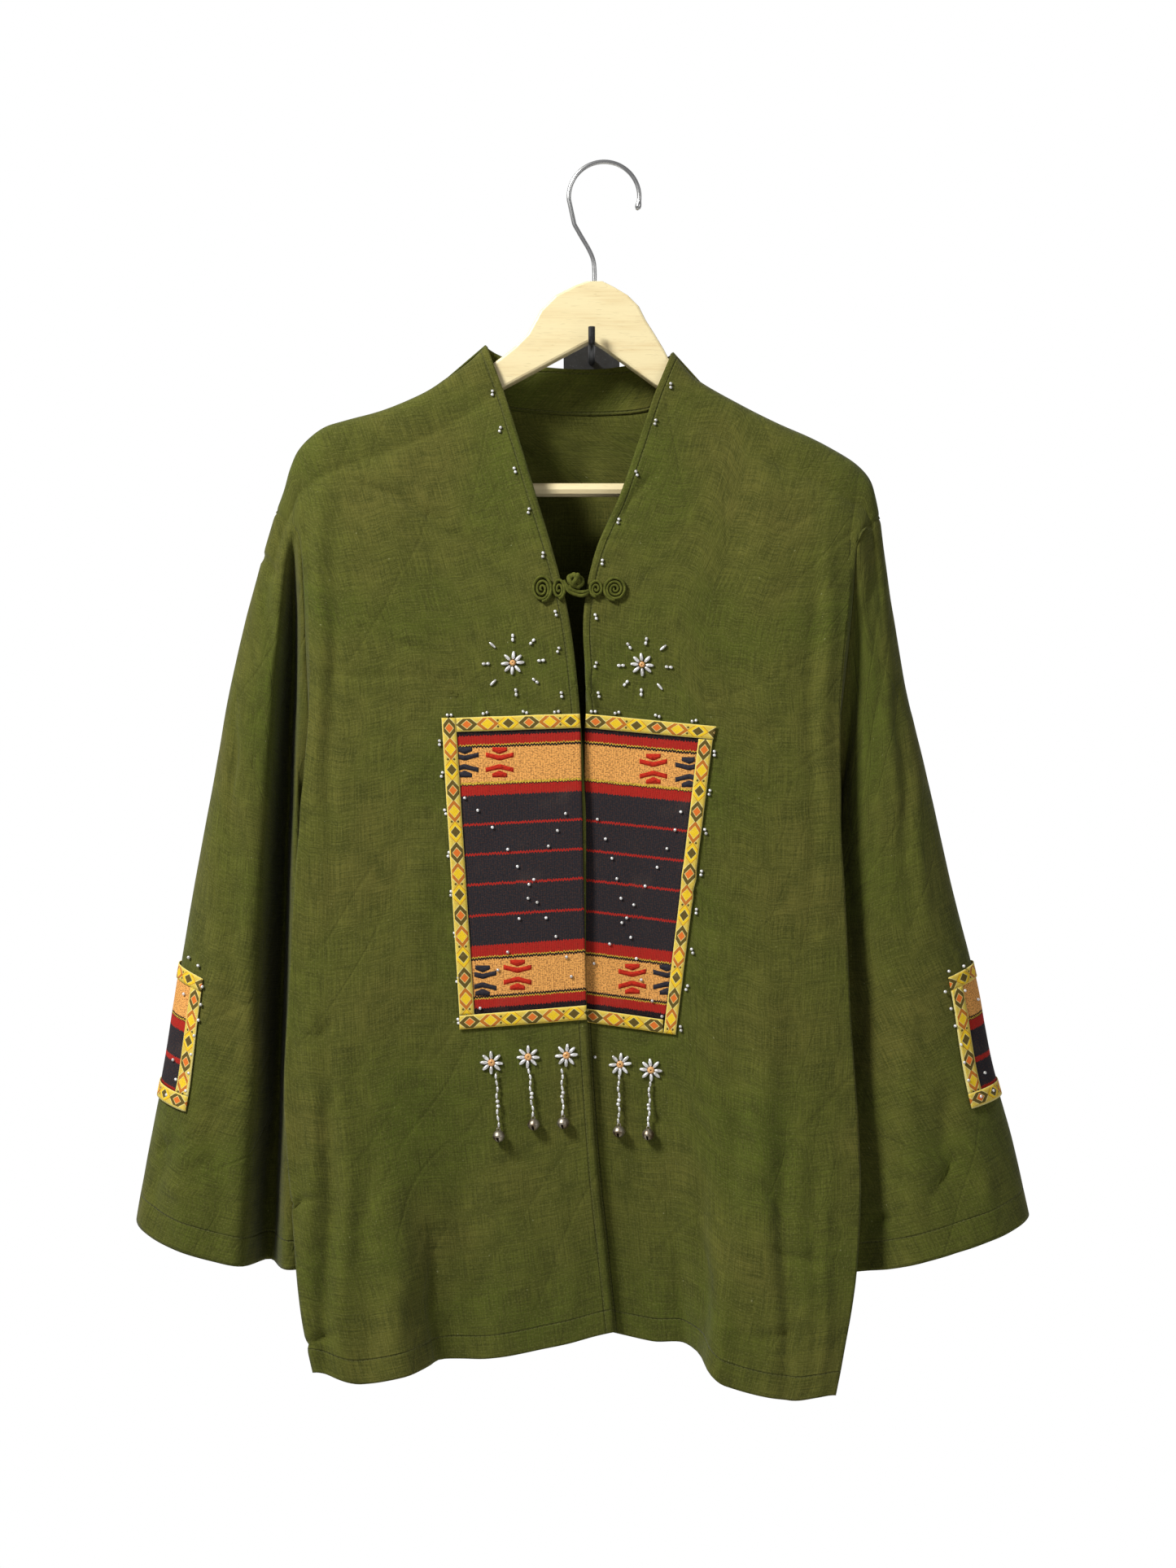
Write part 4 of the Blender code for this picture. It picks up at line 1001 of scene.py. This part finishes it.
# Side, middle as photo pixels, where it is cut off, as x from its middle, and colour
MOTIFS = (
    ("left", 614, 937, -10, 10, "red"), ("left", 636, 1198, -10, 10, "red"),
    ("left", 571, 937, -4.5, 10, "charcoal"), ("left", 593, 1205, -6, 10, "charcoal"),
    ("right", 803, 945, -10, 10, "red"), ("right", 777, 1203, -10, 10, "red"),
    ("right", 847, 949, -10, 4, "charcoal"), ("right", 820, 1204, -10, 2.8, "charcoal"),
)
# The camera's place, and the photograph's middle and the lens's reach, both in its pixels
EYE = (-2.65, -1825.0, -316.5)
PHOTO = {"middle_u": 722.5, "middle_v": 963.5, "reach": 2982.0}


def seen(sheet, u, v):
    """The x, z on a cloth that a pixel of the photograph shows."""
    y = -110.0
    for _ in range(3):
        scale = (y - EYE[1]) / PHOTO["reach"]
        x = EYE[0] + (u - PHOTO["middle_u"]) * scale
        z = EYE[2] - (v - PHOTO["middle_v"]) * scale
        y = sheet.at(x, z, CLOTH)[1]
    return x, z


def thick_weft(name, colour):
    """Soft thick wool, laid across in picks."""
    made, place = new_finish(name, 0.95, Specular_IOR_Level=0.1)
    picks = place.stretched(500, 500, 3200).clouds(1, 2)
    # Painted shade: between the picks, where the bump is low, the wool gets a darker copy of its own colour.
    picks.rise(0.3, 0.6).between(tuple(part * 0.35 for part in colour), colour).onto("Base Color")
    picks.raised(0.0003)
    return made


WEFTS = {"red": (0.55, 0.03, 0.014), "charcoal": (0.035, 0.032, 0.04)}
wefts = {colour: thick_weft(f"{colour} weft", shade) for colour, shade in WEFTS.items()}
for number, (side, u, v, first, last, colour) in enumerate(MOTIFS, 1):
    middle_x, middle_z = seen(fronts[side], u, v)
    for turn, way in (("upper", 1), ("lower", -1)):
        for part, edges in enumerate(MOTIF, 1):
            corners = np.array(edges, float)
            reach = np.linspace(max(corners[0, 0], first), min(corners[-1, 0], last), 12)
            upper, lower = (np.interp(reach, corners[:, 0], corners[:, k]) * way for k in (1, 2))
            rows = []
            for share in (0, 0.5, 1):
                row = []
                for x, high, low in zip(reach, upper, lower):
                    at = fronts[side].find(middle_x + x, middle_z + high + (low - high) * share)
                    row.append(fronts[side].off(*at, MOTIF_HEIGHT - 0.12 * abs(2 * share - 1)))
                rows.append(row)
            name = f"motif_{number}_{turn}_{part}"
            piece = grid_mesh(name, np.array(rows), wefts[colour], thick=WEFT_THICK)
            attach(piece, "root")


# Ribbons: 10 mm wide woven ribbon round each panel, cream and yellow, with a repeat of three diamonds in
# orange, yellow and olive brown. Each length is sewn down along both of its edges, over the panel's edge.

RIBBON_WIDE = 10.0
RIBBON_HEIGHT = CLOTH / 2 + 1.6
RIBBON_CELL = 14.667
RIBBON_THICK = 0.7
RIBBON_CROWN = 0.3
# The real width is 10 mm; 10.5 mm is stated
RIBBONS = {
    "left": {
        "side": ((-106, -270), (-96, -270), (-82.5, -478.4), (-93, -478.9)),
        "top": ((-95.8, -270), (-8.4, -267), (-7.8, -277), (-95.2, -280)),
        "bottom": ((-93, -479.3), (-3.8, -472), (-3.6, -482), (-93, -489)),
    },
    "right": {
        "top": ((-4.2, -266.8), (88, -276), (86, -285.2), (-4.8, -276.8)),
        "side": ((75.5, -284.8), (85.5, -285.6), (59.5, -493), (51, -492)),
        "bottom": ((-6.6, -474.6), (50.6, -482.5), (50.6, -492), (-6.4, -484.1)),
    },
}

ribbon_finish, _ = new_finish("diamond ribbon", 0.8, Specular_IOR_Level=0.2)
CREAM = (0.72, 0.62, 0.22)
STRAW = (0.68, 0.5, 0.07)
BRIGHT = (0.84, 0.56, 0.015)
ORANGE = (0.72, 0.16, 0.02)
OLIVE = (0.1, 0.07, 0.012)
RUST = (0.5, 0.15, 0.015)
length = cloth_map(ribbon_finish)
along = length.part("Y") * 1000
off_middle = abs(length.part("X") * 1000 - RIBBON_WIDE / 2)
off_cell = abs(along % RIBBON_CELL - RIBBON_CELL / 2)
ring = off_middle / 3.2 + off_cell / 3.9
third = (along % (3 * RIBBON_CELL)) / (3 * RIBBON_CELL)
cells = [
    ring.node("ShaderNodeValToRGB", {"stops": stops}, {0: ring / 3})
    for stops in (
        ((0, ORANGE), (0.29, CREAM), (0.34, OLIVE), (0.65, CREAM), (0.73, STRAW)),
        ((0, BRIGHT), (0.37, CREAM), (0.41, RUST), (0.68, CREAM), (0.76, STRAW)),
        ((0, OLIVE), (0.34, CREAM), (0.39, BRIGHT), (0.62, RUST), (0.67, STRAW)),
    )
]
tone = (third > 1 / 3).between(cells[0], cells[1])
tone = (third > 2 / 3).between(tone, cells[2])
spot_along = abs(third * (3 * RIBBON_CELL) - 2 * RIBBON_CELL)
spot_off = abs(off_middle - 2.2)
dots = (spot_along * spot_along + spot_off * spot_off) < 0.7
tone = dots.between(tone, OLIVE)
tone = (off_middle > 4.15).between(tone, CREAM)
tone = (abs(off_middle - 4.45) < 0.18).between(tone, BRIGHT)
threads = length.stretched(900, 4200, 1).clouds(1, 2)
tone = ((1 - threads.rise(0.3, 0.55)) * 0.4).between(tone, (0.2, 0.12, 0.03))
wear = length.clouds(120, 3).rise(0.6, 0.8)
(wear * 0.25).between(tone, (0.5, 0.42, 0.2)).onto("Base Color")
picks = abs(along.maths("SINE", along * (math.pi / 0.5)))
(picks * 0.5 + threads * 0.5).raised(0.0002)
for side, ribbons in RIBBONS.items():
    for place, corners in ribbons.items():
        along_it = "down" if place == "side" else "across"
        sheet, name = fronts[side], f"diamond_ribbon_{place}_{side}"
        piece = skin(name, sheet, corners, RIBBON_HEIGHT, ribbon_finish, RIBBON_THICK, RIBBON_CROWN, along_it)
        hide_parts(f"ribbon_{place}_{side}")


# Frog: a closing made of cord that is sewn from a strip of the jacket's own cotton. Two flat coils are
# stitched to each front, and a loop between them holds a knot of the same cord over the opening.

CORD = 2.5
COIL_CORD = 2.05
COIL_DEEP = 3.5
COIL_POINTS = 26
# Middle x and z, half width and half height, turns, and the way they wind
COILS = {
    "frog_coil_1": ("left", -35.2, -178.4, 7.6, 9.9, 3.0, 1),
    "frog_coil_2": ("left", -23.2, -178.8, 5.0, 7.7, 2.2, 1),
    "frog_coil_3": ("right", 3.2, -178.2, 5.4, 6.6, 2.3, -1),
    "frog_coil_4": ("right", 16.6, -178.4, 8.6, 8.9, 3.4, -1),
}
KNOT_BALL = 4.4
KNOT_CORD = 3.5
cord_cotton, place = new_finish("cotton cord", 0.95, Specular_IOR_Level=0.12)
twill = place.clouds(1700, 3)
nap = place.clouds(350, 3)
fibres = (twill * 0.6 + nap * 0.7 - 0.15).rise(0.2, 0.9)
fibres.between((0.045, 0.052, 0.007), (0.135, 0.14, 0.024)).onto("Base Color")
(twill + nap * 0.5).raised(0.00025)


def sewn_cord(name, line, off, wide, deep, node=None):
    """A cord of the frog, in place of its CAD piece if it has one of its own."""
    piece = round_cord(name, line, off, wide, deep, cord_cotton)
    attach(piece, "root")
    if node:
        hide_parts(node)


for name, (side, x, z, half_wide, half_high, turns, way) in COILS.items():
    line = []
    steps = round(turns * COIL_POINTS)
    for k in range(steps + 1):
        angle = 2 * math.pi * k / COIL_POINTS
        left = max(1 - max(0, k / COIL_POINTS - 0.5) / (turns - 0.3), 0.06)
        x_off = (half_wide - COIL_CORD / 2) * left * math.sin(angle) * way
        z_off = (half_high - COIL_CORD / 2) * left * -math.cos(angle)
        deep = COIL_DEEP * (0.72 + 0.28 * left**2)
        line.append(fronts[side].at(x + x_off, z + z_off, CLOTH / 2 + 0.1 + deep / 2))
    share = np.linspace(0, 1, steps + 1)
    wide, deep = COIL_CORD * (1.12 - 0.2 * share), COIL_DEEP * (1 - 0.28 * share)
    sewn_cord(f"{name}_cord", line, (0, -1, 0), wide, deep, name)

knot_middle = (np.array(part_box("frog_knot")[0]) + np.array(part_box("frog_knot")[1])) / 2 / MM
line = []
for t in np.linspace(0, 2 * math.pi, 181):
    lift = KNOT_BALL + 0.9 * math.cos(7 * t)
    turn, rise = 3 * t, 1.15 * math.sin(4 * t)
    level = math.cos(rise)
    out = np.array([level * math.cos(turn), level * math.sin(turn) * 0.85, math.sin(rise)])
    line.append(knot_middle + lift * out)
sewn_cord("knot_cord", line, (0.3, 0.2, 1), KNOT_CORD, KNOT_CORD, "frog_knot")
ends = [fronts["left"].at(-19.6, -172.5, CORD), fronts["right"].at(-1.5, -179.5, CORD)]
low = np.array([-10.2, min(ends[0][1], ends[1][1]) - 1.0, -182.6])
for number, drop in (("outer", 0.0), ("inner", 2.3)):
    corners = (
        ends[0] - (0, 0, drop * 0.1),
        ends[0] * 0.55 + low * 0.45 + (-1.2, -1.2, -2.6 + drop),
        low + (0, 0, drop),
        ends[1] * 0.5 + low * 0.5 + (0.6, -1.0, -1.6 + drop),
        ends[1],
    )
    line = [smooth(corners, k / 6) for k in range(25)]
    sewn_cord(f"loop_cord_{number}", line, (0, -1, 0), CORD, CORD, "frog_loop" if number == "outer" else None)


# Beads sewn on the fronts: silver-lined glass, round ones in pairs along the neck edge and the ribbons and
# singly on the panels, and long ones as petals of the sunbursts and daisies, each with an orange disc.

ROUND_BEAD = 2.3
PETAL = (6.2, 2.6)
RAY_BEAD = (6.2, 2.0)
SHORT_RAY = 2.8
# From the middle of a pair to each of its beads, and from the middle of a flower to its petals' middles
PAIR_STEP = 1.35
RAY_STEP = 1.5
SUNBURST_REACH = 5.4
DAISY_REACH = 5.2
# Thickness and width
SUNBURST_DISC = (2.4, 4.4)
DAISY_DISC = (2.0, 5.2)
ON_CLOTH = CLOTH / 2 + ROUND_BEAD * 0.42
ON_PANEL = PANEL_HEIGHT + PANEL_THICK / 2 + ROUND_BEAD * 0.42
# All are pixels of the photograph
NECK_PAIRS = {
    "left": (
        (605, 483), (615, 528), (633, 578), (650, 628), (667, 682), (683, 754), (686, 799), (690, 854),
    ),
    "right": (
        (824, 474), (805, 519), (782, 582), (760, 641), (740, 691), (732, 758), (732, 817), (735, 854),
    ),
}
SIDE_PAIRS = {
    "left": (
        (540, 913), (543, 952), (547, 998), (551, 1050), (554, 1098), (559, 1149), (562, 1204), (563, 1255),
    ),
    "right": (
        (878, 926), (872, 974), (867, 1022), (862, 1073), (856, 1120), (851, 1169), (844, 1214),
        (837, 1264),
    ),
}
TOP_PAIRS = {
    "left": ((552, 879), (596, 877), (645, 876), (684, 875)),
    "right": ((729, 874), (758, 876), (808, 880), (853, 886)),
}
PANEL_BEADS = {
    "left": (
        (571, 981), (587, 996), (605, 1017), (624, 1044), (636, 1065), (656, 1081), (650, 1087),
        (649, 1104), (660, 1109), (638, 1129), (671, 1128), (683, 1151), (624, 1170), (695, 1000),
        (685, 1021), (674, 1040), (696, 1176), (702, 1200), (590, 1239), (612, 1192),
    ),
    "right": (
        (734, 1007), (744, 1031), (752, 1055), (758, 1080), (763, 1104), (770, 1128), (764, 1134),
        (779, 1112), (793, 1089), (808, 1066), (820, 1043), (830, 1020), (837, 998), (775, 1152),
        (749, 1160), (782, 1178), (730, 1184), (788, 1204), (802, 1230), (814, 1249),
    ),
}
SUNBURSTS = {
    "left": (
        (630, 815),
        ((630, 784), (654, 789), (605, 793), (665, 812), (597, 816), (658, 837), (606, 839), (634, 851)),
    ),
    "right": (
        (789, 817),
        ((794, 788), (773, 794), (815, 796), (763, 818), (822, 820), (769, 840), (811, 844), (788, 851)),
    ),
}
DAISIES = (
    ("left", 604, 1306), ("left", 649, 1299), ("left", 696, 1297), ("right", 762, 1308),
    ("right", 800, 1315),
)
BEAD_SIDES = 10
# A bead's outline: radius and place along its hole, as shares of half its width and length
BEAD_OUTLINE = (
    (0.2, -0.96), (0.55, -0.88), (0.86, -0.5), (1, 0), (0.86, 0.5), (0.55, 0.88), (0.2, 0.96), (0.16, 0),
)

pearl, place = new_finish("silvery glass", 0.24, 0.4, Coat_Weight=0.6, Coat_Roughness=0.08)
milk = place.clouds(240, 2)
milk.rise(0.3, 0.65).between((0.5, 0.48, 0.44), (0.88, 0.87, 0.85)).onto("Base Color")
(0.18 + milk * 0.25).onto("Roughness")
place.clouds(1500).raised(0.00004)
orange_disc, place = new_finish("orange disc", 0.4, Coat_Weight=0.3)
speck = place.clouds(900, 3)
speck.rise(0.3, 0.7).between((0.52, 0.2, 0.05), (0.78, 0.46, 0.17)).onto("Base Color")
speck.raised(0.0001)


def bead_set(name, beads, finish, body="root"):
    """Beads as one piece. Each is its middle, the ways along its hole and off the cloth, length, width."""
    corners, faces = [], []
    ring = len(BEAD_OUTLINE)
    for middle, way, off, long, wide in beads:
        side = np.cross(way, off)
        start = len(corners)
        for k in range(BEAD_SIDES):
            angle = 2 * math.pi * k / BEAD_SIDES
            out = off * math.cos(angle) + side * math.sin(angle)
            for radius, along in BEAD_OUTLINE:
                corners.append((middle + way * along * long / 2 + out * radius * wide / 2) * MM)
        for k in range(BEAD_SIDES):
            here, after = start + k * ring, start + (k + 1) % BEAD_SIDES * ring
            for n in range(ring):
                up = (n + 1) % ring
                faces.append((here + n, here + up, after + up, after + n))
    piece = add_object(name, add_mesh(name, corners, faces, finish))
    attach(piece, body)
    return piece


def sewn_bead(sheet, x, z, angle, long=ROUND_BEAD, wide=ROUND_BEAD, height=ON_CLOTH, flat=False):
    """A bead on a cloth, its hole at this angle from level. A flat one lies with its hole off the cloth."""
    at = sheet.find(x, z)
    off = unit(sheet.read(sheet.normals, *at))
    way = np.array([math.cos(angle), 0, math.sin(angle)])
    way = unit(way - off * (way @ off))
    middle = sheet.off(*at, height)
    return (middle, off, way, long, wide) if flat else (middle, way, off, long, wide)


def flower(sheet, x, z, petals, reach, height):
    """Long beads laid round a middle, like petals, none quite even."""
    made = []
    for k in range(petals):
        angle = 2 * math.pi * (k + 0.12 * math.sin(5 * k + x)) / petals
        from_x, from_z = x + reach * math.cos(angle), z + reach * math.sin(angle)
        made.append(sewn_bead(sheet, from_x, from_z, angle, *PETAL, height))
    return made


for side in ("left", "right"):
    sheet = fronts[side]
    beads = []
    for table, upright in ((NECK_PAIRS, True), (SIDE_PAIRS, True), (TOP_PAIRS, False)):
        for number, (u, v) in enumerate(table[side]):
            x, z = seen(sheet, u, v)
            for half in (-PAIR_STEP, PAIR_STEP):
                lean = 0.35 * math.sin(number * 2.3)
                x_off, z_off = (lean * half, half) if upright else (half, lean * half)
                beads.append(sewn_bead(sheet, x + x_off, z + z_off, 0 if upright else math.pi / 2))
    for number, (u, v) in enumerate(PANEL_BEADS[side]):
        beads.append(sewn_bead(sheet, *seen(sheet, u, v), number * 1.3, height=ON_PANEL))
    bead_set(f"round_beads_{side}", beads, pearl)
    (u, v), rays = SUNBURSTS[side]
    middle_x, middle_z = seen(sheet, u, v)
    beads = flower(sheet, middle_x, middle_z, 8, SUNBURST_REACH, ON_CLOTH)
    for number, (u, v) in enumerate(rays):
        x, z = seen(sheet, u, v)
        angle = math.atan2(z - middle_z, x - middle_x)
        if number % 4 == 2:
            beads.append(sewn_bead(sheet, x, z, angle, *RAY_BEAD))
        else:
            for step in (-RAY_STEP, RAY_STEP):
                from_x, from_z = x + step * math.cos(angle), z + step * math.sin(angle)
                beads.append(sewn_bead(sheet, from_x, from_z, angle, SHORT_RAY))
    bead_set(f"sunburst_{side}", beads, pearl)
    disc = sewn_bead(sheet, middle_x, middle_z, 0, *SUNBURST_DISC, ON_CLOTH + 0.8, flat=True)
    bead_set(f"sunburst_middle_{side}", [disc], orange_disc)
stray = sewn_bead(fronts["right"], *seen(fronts["right"], 731, 1299), 0.6)
bead_set("stray_bead", [stray], pearl)
for number, (side, u, v) in enumerate(DAISIES, 1):
    x, z = seen(fronts[side], u, v)
    bead_set(f"daisy_{number}", flower(fronts[side], x, z, 8, DAISY_REACH, ON_CLOTH), pearl)
    disc = sewn_bead(fronts[side], x, z, 0, *DAISY_DISC, ON_CLOTH + 0.7, flat=True)
    bead_set(f"daisy_middle_{number}", [disc], orange_disc)


# Bead strands with bells: long and round beads on a knotted thread, sewn on below each daisy. A small round
# bell of stamped metal, with a cap and a slit, hangs at the end. Each strand swings from its sewn end.

# Side, x and z of the sewn end, x and z of the bell's lowest point
STRANDS = (
    ("left", -67, -519, -65, -567),
    ("left", -44, -516, -41, -559),
    ("left", -21, -516, -20, -558),
    ("right", 19, -521, 19, -565),
    ("right", 41, -526, 40, -567),
)
LONG_BEAD = (3.9, 1.9)
MIDDLE_BEAD = (2.6, 3.0)
STRAND_ORDER = (LONG_BEAD,) * 4 + (MIDDLE_BEAD,) * 2 + (LONG_BEAD,) * 3
STRAND_OFF = CLOTH / 2 + 2.7
BELL = 7.6
BELL_WALL = 0.4
BELL_RINGS = 18
BELL_AROUND = 28
THREAD = 0.6
EYE_WIRE = 0.8
# The slit starts at this share of the bell's height, on two sides, and is so many faces wide
SLIT_FROM = 0.55
SLIT_COLUMNS = 2
bell_metal, place = new_finish("dull bell metal", 0.36, 0.9)
dull = place.clouds(420, 4)
tarnish = place.clouds(150, 3).rise(0.45, 0.7)
tarnish.between((0.34, 0.3, 0.23), (0.13, 0.09, 0.05)).onto("Base Color")
(0.26 + dull * 0.3).onto("Roughness")
dull.raised(0.00006)
thread_finish, place = new_finish("waxed thread", 0.8)
ply = place.clouds(1400, 2)
ply.between((0.2, 0.19, 0.13), (0.45, 0.43, 0.34)).onto("Base Color")
ply.raised(0.0001)
for number, (side, root_x, root_z, low_x, low_z) in enumerate(STRANDS, 1):
    body = f"swing_{number}"
    sheet = fronts[side]
    root = sheet.at(root_x, root_z, STRAND_OFF)
    bell_middle = sheet.at(low_x, low_z + BELL / 2, CLOTH / 2 + 0.4 + BELL / 2)
    way = unit(bell_middle - root)
    off = np.array([0, -1.0, 0])
    off = unit(off - way * (off @ way))
    side_way = np.cross(way, off)
    cap = bell_middle - way * (BELL / 2 + 1.4)
    room = np.linalg.norm(cap - root)
    gap = (room - sum(long for long, _ in STRAND_ORDER)) / (len(STRAND_ORDER) + 1)
    beads, line, down = [], [root], 0.0
    for k, (long, wide) in enumerate(STRAND_ORDER):
        down += gap + long / 2
        wander = 0.45 * math.sin(2.1 * k + number) * side_way
        tilt = way + 0.16 * math.cos(2.1 * k + number) * side_way
        middle = root + way * down + wander
        beads.append((middle, unit(tilt), off, long * 0.98, wide))
        line.append(middle)
        down += long / 2
    piece = bead_set(f"strand_beads_{number}", beads, pearl, body)
    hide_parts(f"strand_{number}")
    piece = round_cord(f"strand_thread_{number}", [*line, cap], off, THREAD, THREAD, thread_finish, sides=6)
    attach(piece, body)
    rings, around = BELL_RINGS, BELL_AROUND
    points = np.zeros((rings + 1, around + 1, 3))
    for i in range(rings + 1):
        bend = math.pi * (0.04 + 0.93 * i / rings)
        seam = 0.3 * math.exp(-(((i / rings - 0.5) / 0.06) ** 2))
        for j in range(around + 1):
            angle = 2 * math.pi * j / around
            out = off * math.cos(angle) + side_way * math.sin(angle)
            from_axis = out * math.sin(bend) * (BELL / 2 + seam)
            points[i, j] = bell_middle - way * math.cos(bend) * BELL / 2 + from_axis
    bell = grid_mesh(f"round_bell_{number}", points, bell_metal, closed=True)
    keep = []
    for face in bell.data.polygons:
        ring_number, column = divmod(face.index, around)
        if ring_number <= rings * SLIT_FROM or column % (around // 2) >= SLIT_COLUMNS:
            keep.append(tuple(face.vertices))
    bell.data = add_mesh(bell.name, [v.co for v in bell.data.vertices], keep, bell_metal)
    add_wall(bell, BELL_WALL, -1)
    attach(bell, body)
    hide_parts(f"bell_{number}")
    top = bell_middle - way * (BELL / 2 + 0.7)
    turns = np.linspace(0.2, 2 * math.pi + 0.2, 15)
    ring = [top + (side_way * math.sin(a) - way * math.cos(a)) * 1.2 for a in turns]
    eye = round_cord(f"bell_eye_{number}", ring, off, EYE_WIRE, EYE_WIRE, bell_metal, sides=8)
    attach(eye, body)


# Sleeve bands: a piece of the striped weave wrapped round the outer fold of each sleeve, framed by the same
# ribbon on its four sides and sewn down. Round beads are sewn along its edges, singly and in pairs.

# Sections of the sleeve, and how far the band reaches to each side of the outer fold, in 5 points of a ring
BAND = {"top": 5.8, "bottom": 7.4, "reach": 4.0, "ribbon_rows": 0.17, "ribbon_points": 0.9}
SLEEVE_POINTS = 5
BAND_STRIPES = (
    (0, TAN), (0.31, BLACK), (0.325, YELLOW), (0.337, BLACK), (0.347, RED), (0.44, CHARCOAL), (0.7, RED),
    (0.75, CHARCOAL), (0.975, RED),
)
BAND_BEADS = {
    "left": (
        (235, 1177), (229, 1222), (249, 1235), (246, 1254), (241, 1273), (216, 1303), (234, 1319),
        (219, 1327), (208, 1346), (246, 1187), (251, 1213), (237, 1296), (230, 1341),
    ),
    "right": (
        (1164, 1194), (1181, 1188), (1160, 1219), (1167, 1240), (1172, 1261), (1179, 1284), (1183, 1306),
        (1188, 1328), (1203, 1348), (1217, 1341), (1183, 1218), (1198, 1229), (1207, 1319),
    ),
}
band_weave = weave("striped weave of the bands", BAND_STRIPES, 0.08)
section_rows = finer(SLEEVE_ROWS, RING_STEPS)


def band_piece(name, side, sections, points, height, finish, thick, along, share=False):
    """A piece of a sleeve's band, between two sections and two points of the ring round the sleeve."""
    sheet = sleeves[side]
    outer = (sheet.points.shape[1] - 1) // 2
    rows = max(4, round((sections[1] - sections[0]) * 30))
    columns = max(4, round((points[1] - points[0]) * 6))
    made = np.zeros((rows + 1, columns + 1, 3))
    for i, section in enumerate(np.linspace(*sections, rows + 1)):
        row = np.interp(section, section_rows, range(len(section_rows)))
        for j, point in enumerate(np.linspace(*points, columns + 1)):
            made[i, j] = sheet.off(row, outer + point * SLEEVE_POINTS, height)
    size = Cloth(made, 1)
    laid = {"down": (size.across, size.down), "across": (size.down, size.across)}
    across, down = laid[along]
    if share:
        down = np.broadcast_to(np.linspace(0, 1 / MM, rows + 1)[:, None], down.shape)
    piece = grid_mesh(name, made, finish, across, down, thick=thick)
    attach(piece, "root")
    return piece


for side in ("left", "right"):
    top, bottom, reach = BAND["top"], BAND["bottom"], BAND["reach"]
    strip, edge = BAND["ribbon_rows"], BAND["ribbon_points"]
    inner = (top + strip, bottom - strip)
    lengths = {
        "top": ((top, top + strip), (-reach, reach), "across"),
        "bottom": ((bottom - strip, bottom), (-reach, reach), "across"),
        "front": (inner, (reach - edge, reach), "down"),
        "back": (inner, (-reach, edge - reach), "down"),
    }
    for place, (sections, points, along_it) in lengths.items():
        name = f"band_ribbon_{place}_{side}"
        piece = band_piece(name, side, sections, points, RIBBON_HEIGHT, ribbon_finish, RIBBON_THICK, along_it)
        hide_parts(f"sleeve_ribbon_{place}_{side}")
    within, name = (edge - reach - 0.1, reach - edge + 0.1), f"band_{side}"
    piece = band_piece(name, side, inner, within, PANEL_HEIGHT, band_weave, PANEL_THICK, "down", share=True)
    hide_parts(f"sleeve_panel_{side}")
    beads = []
    for number, (u, v) in enumerate(BAND_BEADS[side]):
        x, z = seen(sleeves[side], u, v)
        beads.append(sewn_bead(sleeves[side], x, z, number * 1.7, height=ON_PANEL))
    bead_set(f"band_beads_{side}", beads, pearl)


# Studio: a plain pale floor below the jacket, a surround that is white behind it and grey in front, a soft
# light from the upper left and a weaker one from the right. The camera stands level with the chest, as the
# one that took the photo did.

SENSOR = 36.0
PHOTO_TALL = 1927
LAMPS_AIM = (0, -0.1, -0.35)
FLOOR = {"radius": 1.6, "z": -1.5, "corners": 64}
camera_lens = bpy.data.cameras.new("camera")
camera_lens.sensor_fit = "VERTICAL"
camera_lens.sensor_height = SENSOR
camera_lens.lens = SENSOR * PHOTO["reach"] / PHOTO_TALL
camera = add_object("camera", camera_lens)
camera.location = Vector(EYE) * MM
camera.rotation_euler = (math.radians(90), 0, 0)
bpy.context.scene.camera = camera
bpy.context.scene.view_settings.view_transform = "Standard"
surround = bpy.data.worlds.new("white surround")
surround.use_nodes = True
heading = Dye(surround.node_tree).node("ShaderNodeTexCoord", {}, {}, out="Generated")
heading.part("Y").rise(0.2, 0.75).between((0.22, 0.22, 0.23), (1, 1, 1)).onto("Color", "Background")
bpy.context.scene.world = surround
# Place, width and watts
LAMPS = {
    "key": ((-1.35, -1.3, 1.2), 0.55, 78),
    "fill": ((1.5, -1.9, 0.1), 1.2, 9),
}
for name, (place, wide, power) in LAMPS.items():
    lamp = bpy.data.lights.new(name, "AREA")
    lamp.size = wide
    lamp.energy = power
    light = add_object(name, lamp)
    light.location = place
    light.rotation_euler = (Vector(LAMPS_AIM) - Vector(place)).to_track_quat("-Z", "Y").to_euler()
floor_finish, place = new_finish("pale floor", 0.85)
place.clouds(3, 2).between((0.78, 0.77, 0.75), (0.82, 0.81, 0.79)).onto("Base Color")
radius, level, corners = FLOOR["radius"], FLOOR["z"], FLOOR["corners"]
angles = np.linspace(0, 2 * math.pi, corners + 1)[:-1]
round_floor = [(radius * math.cos(a), radius * math.sin(a), level) for a in angles]
floor = add_object("floor", add_mesh("floor", round_floor, [list(range(corners))], floor_finish))
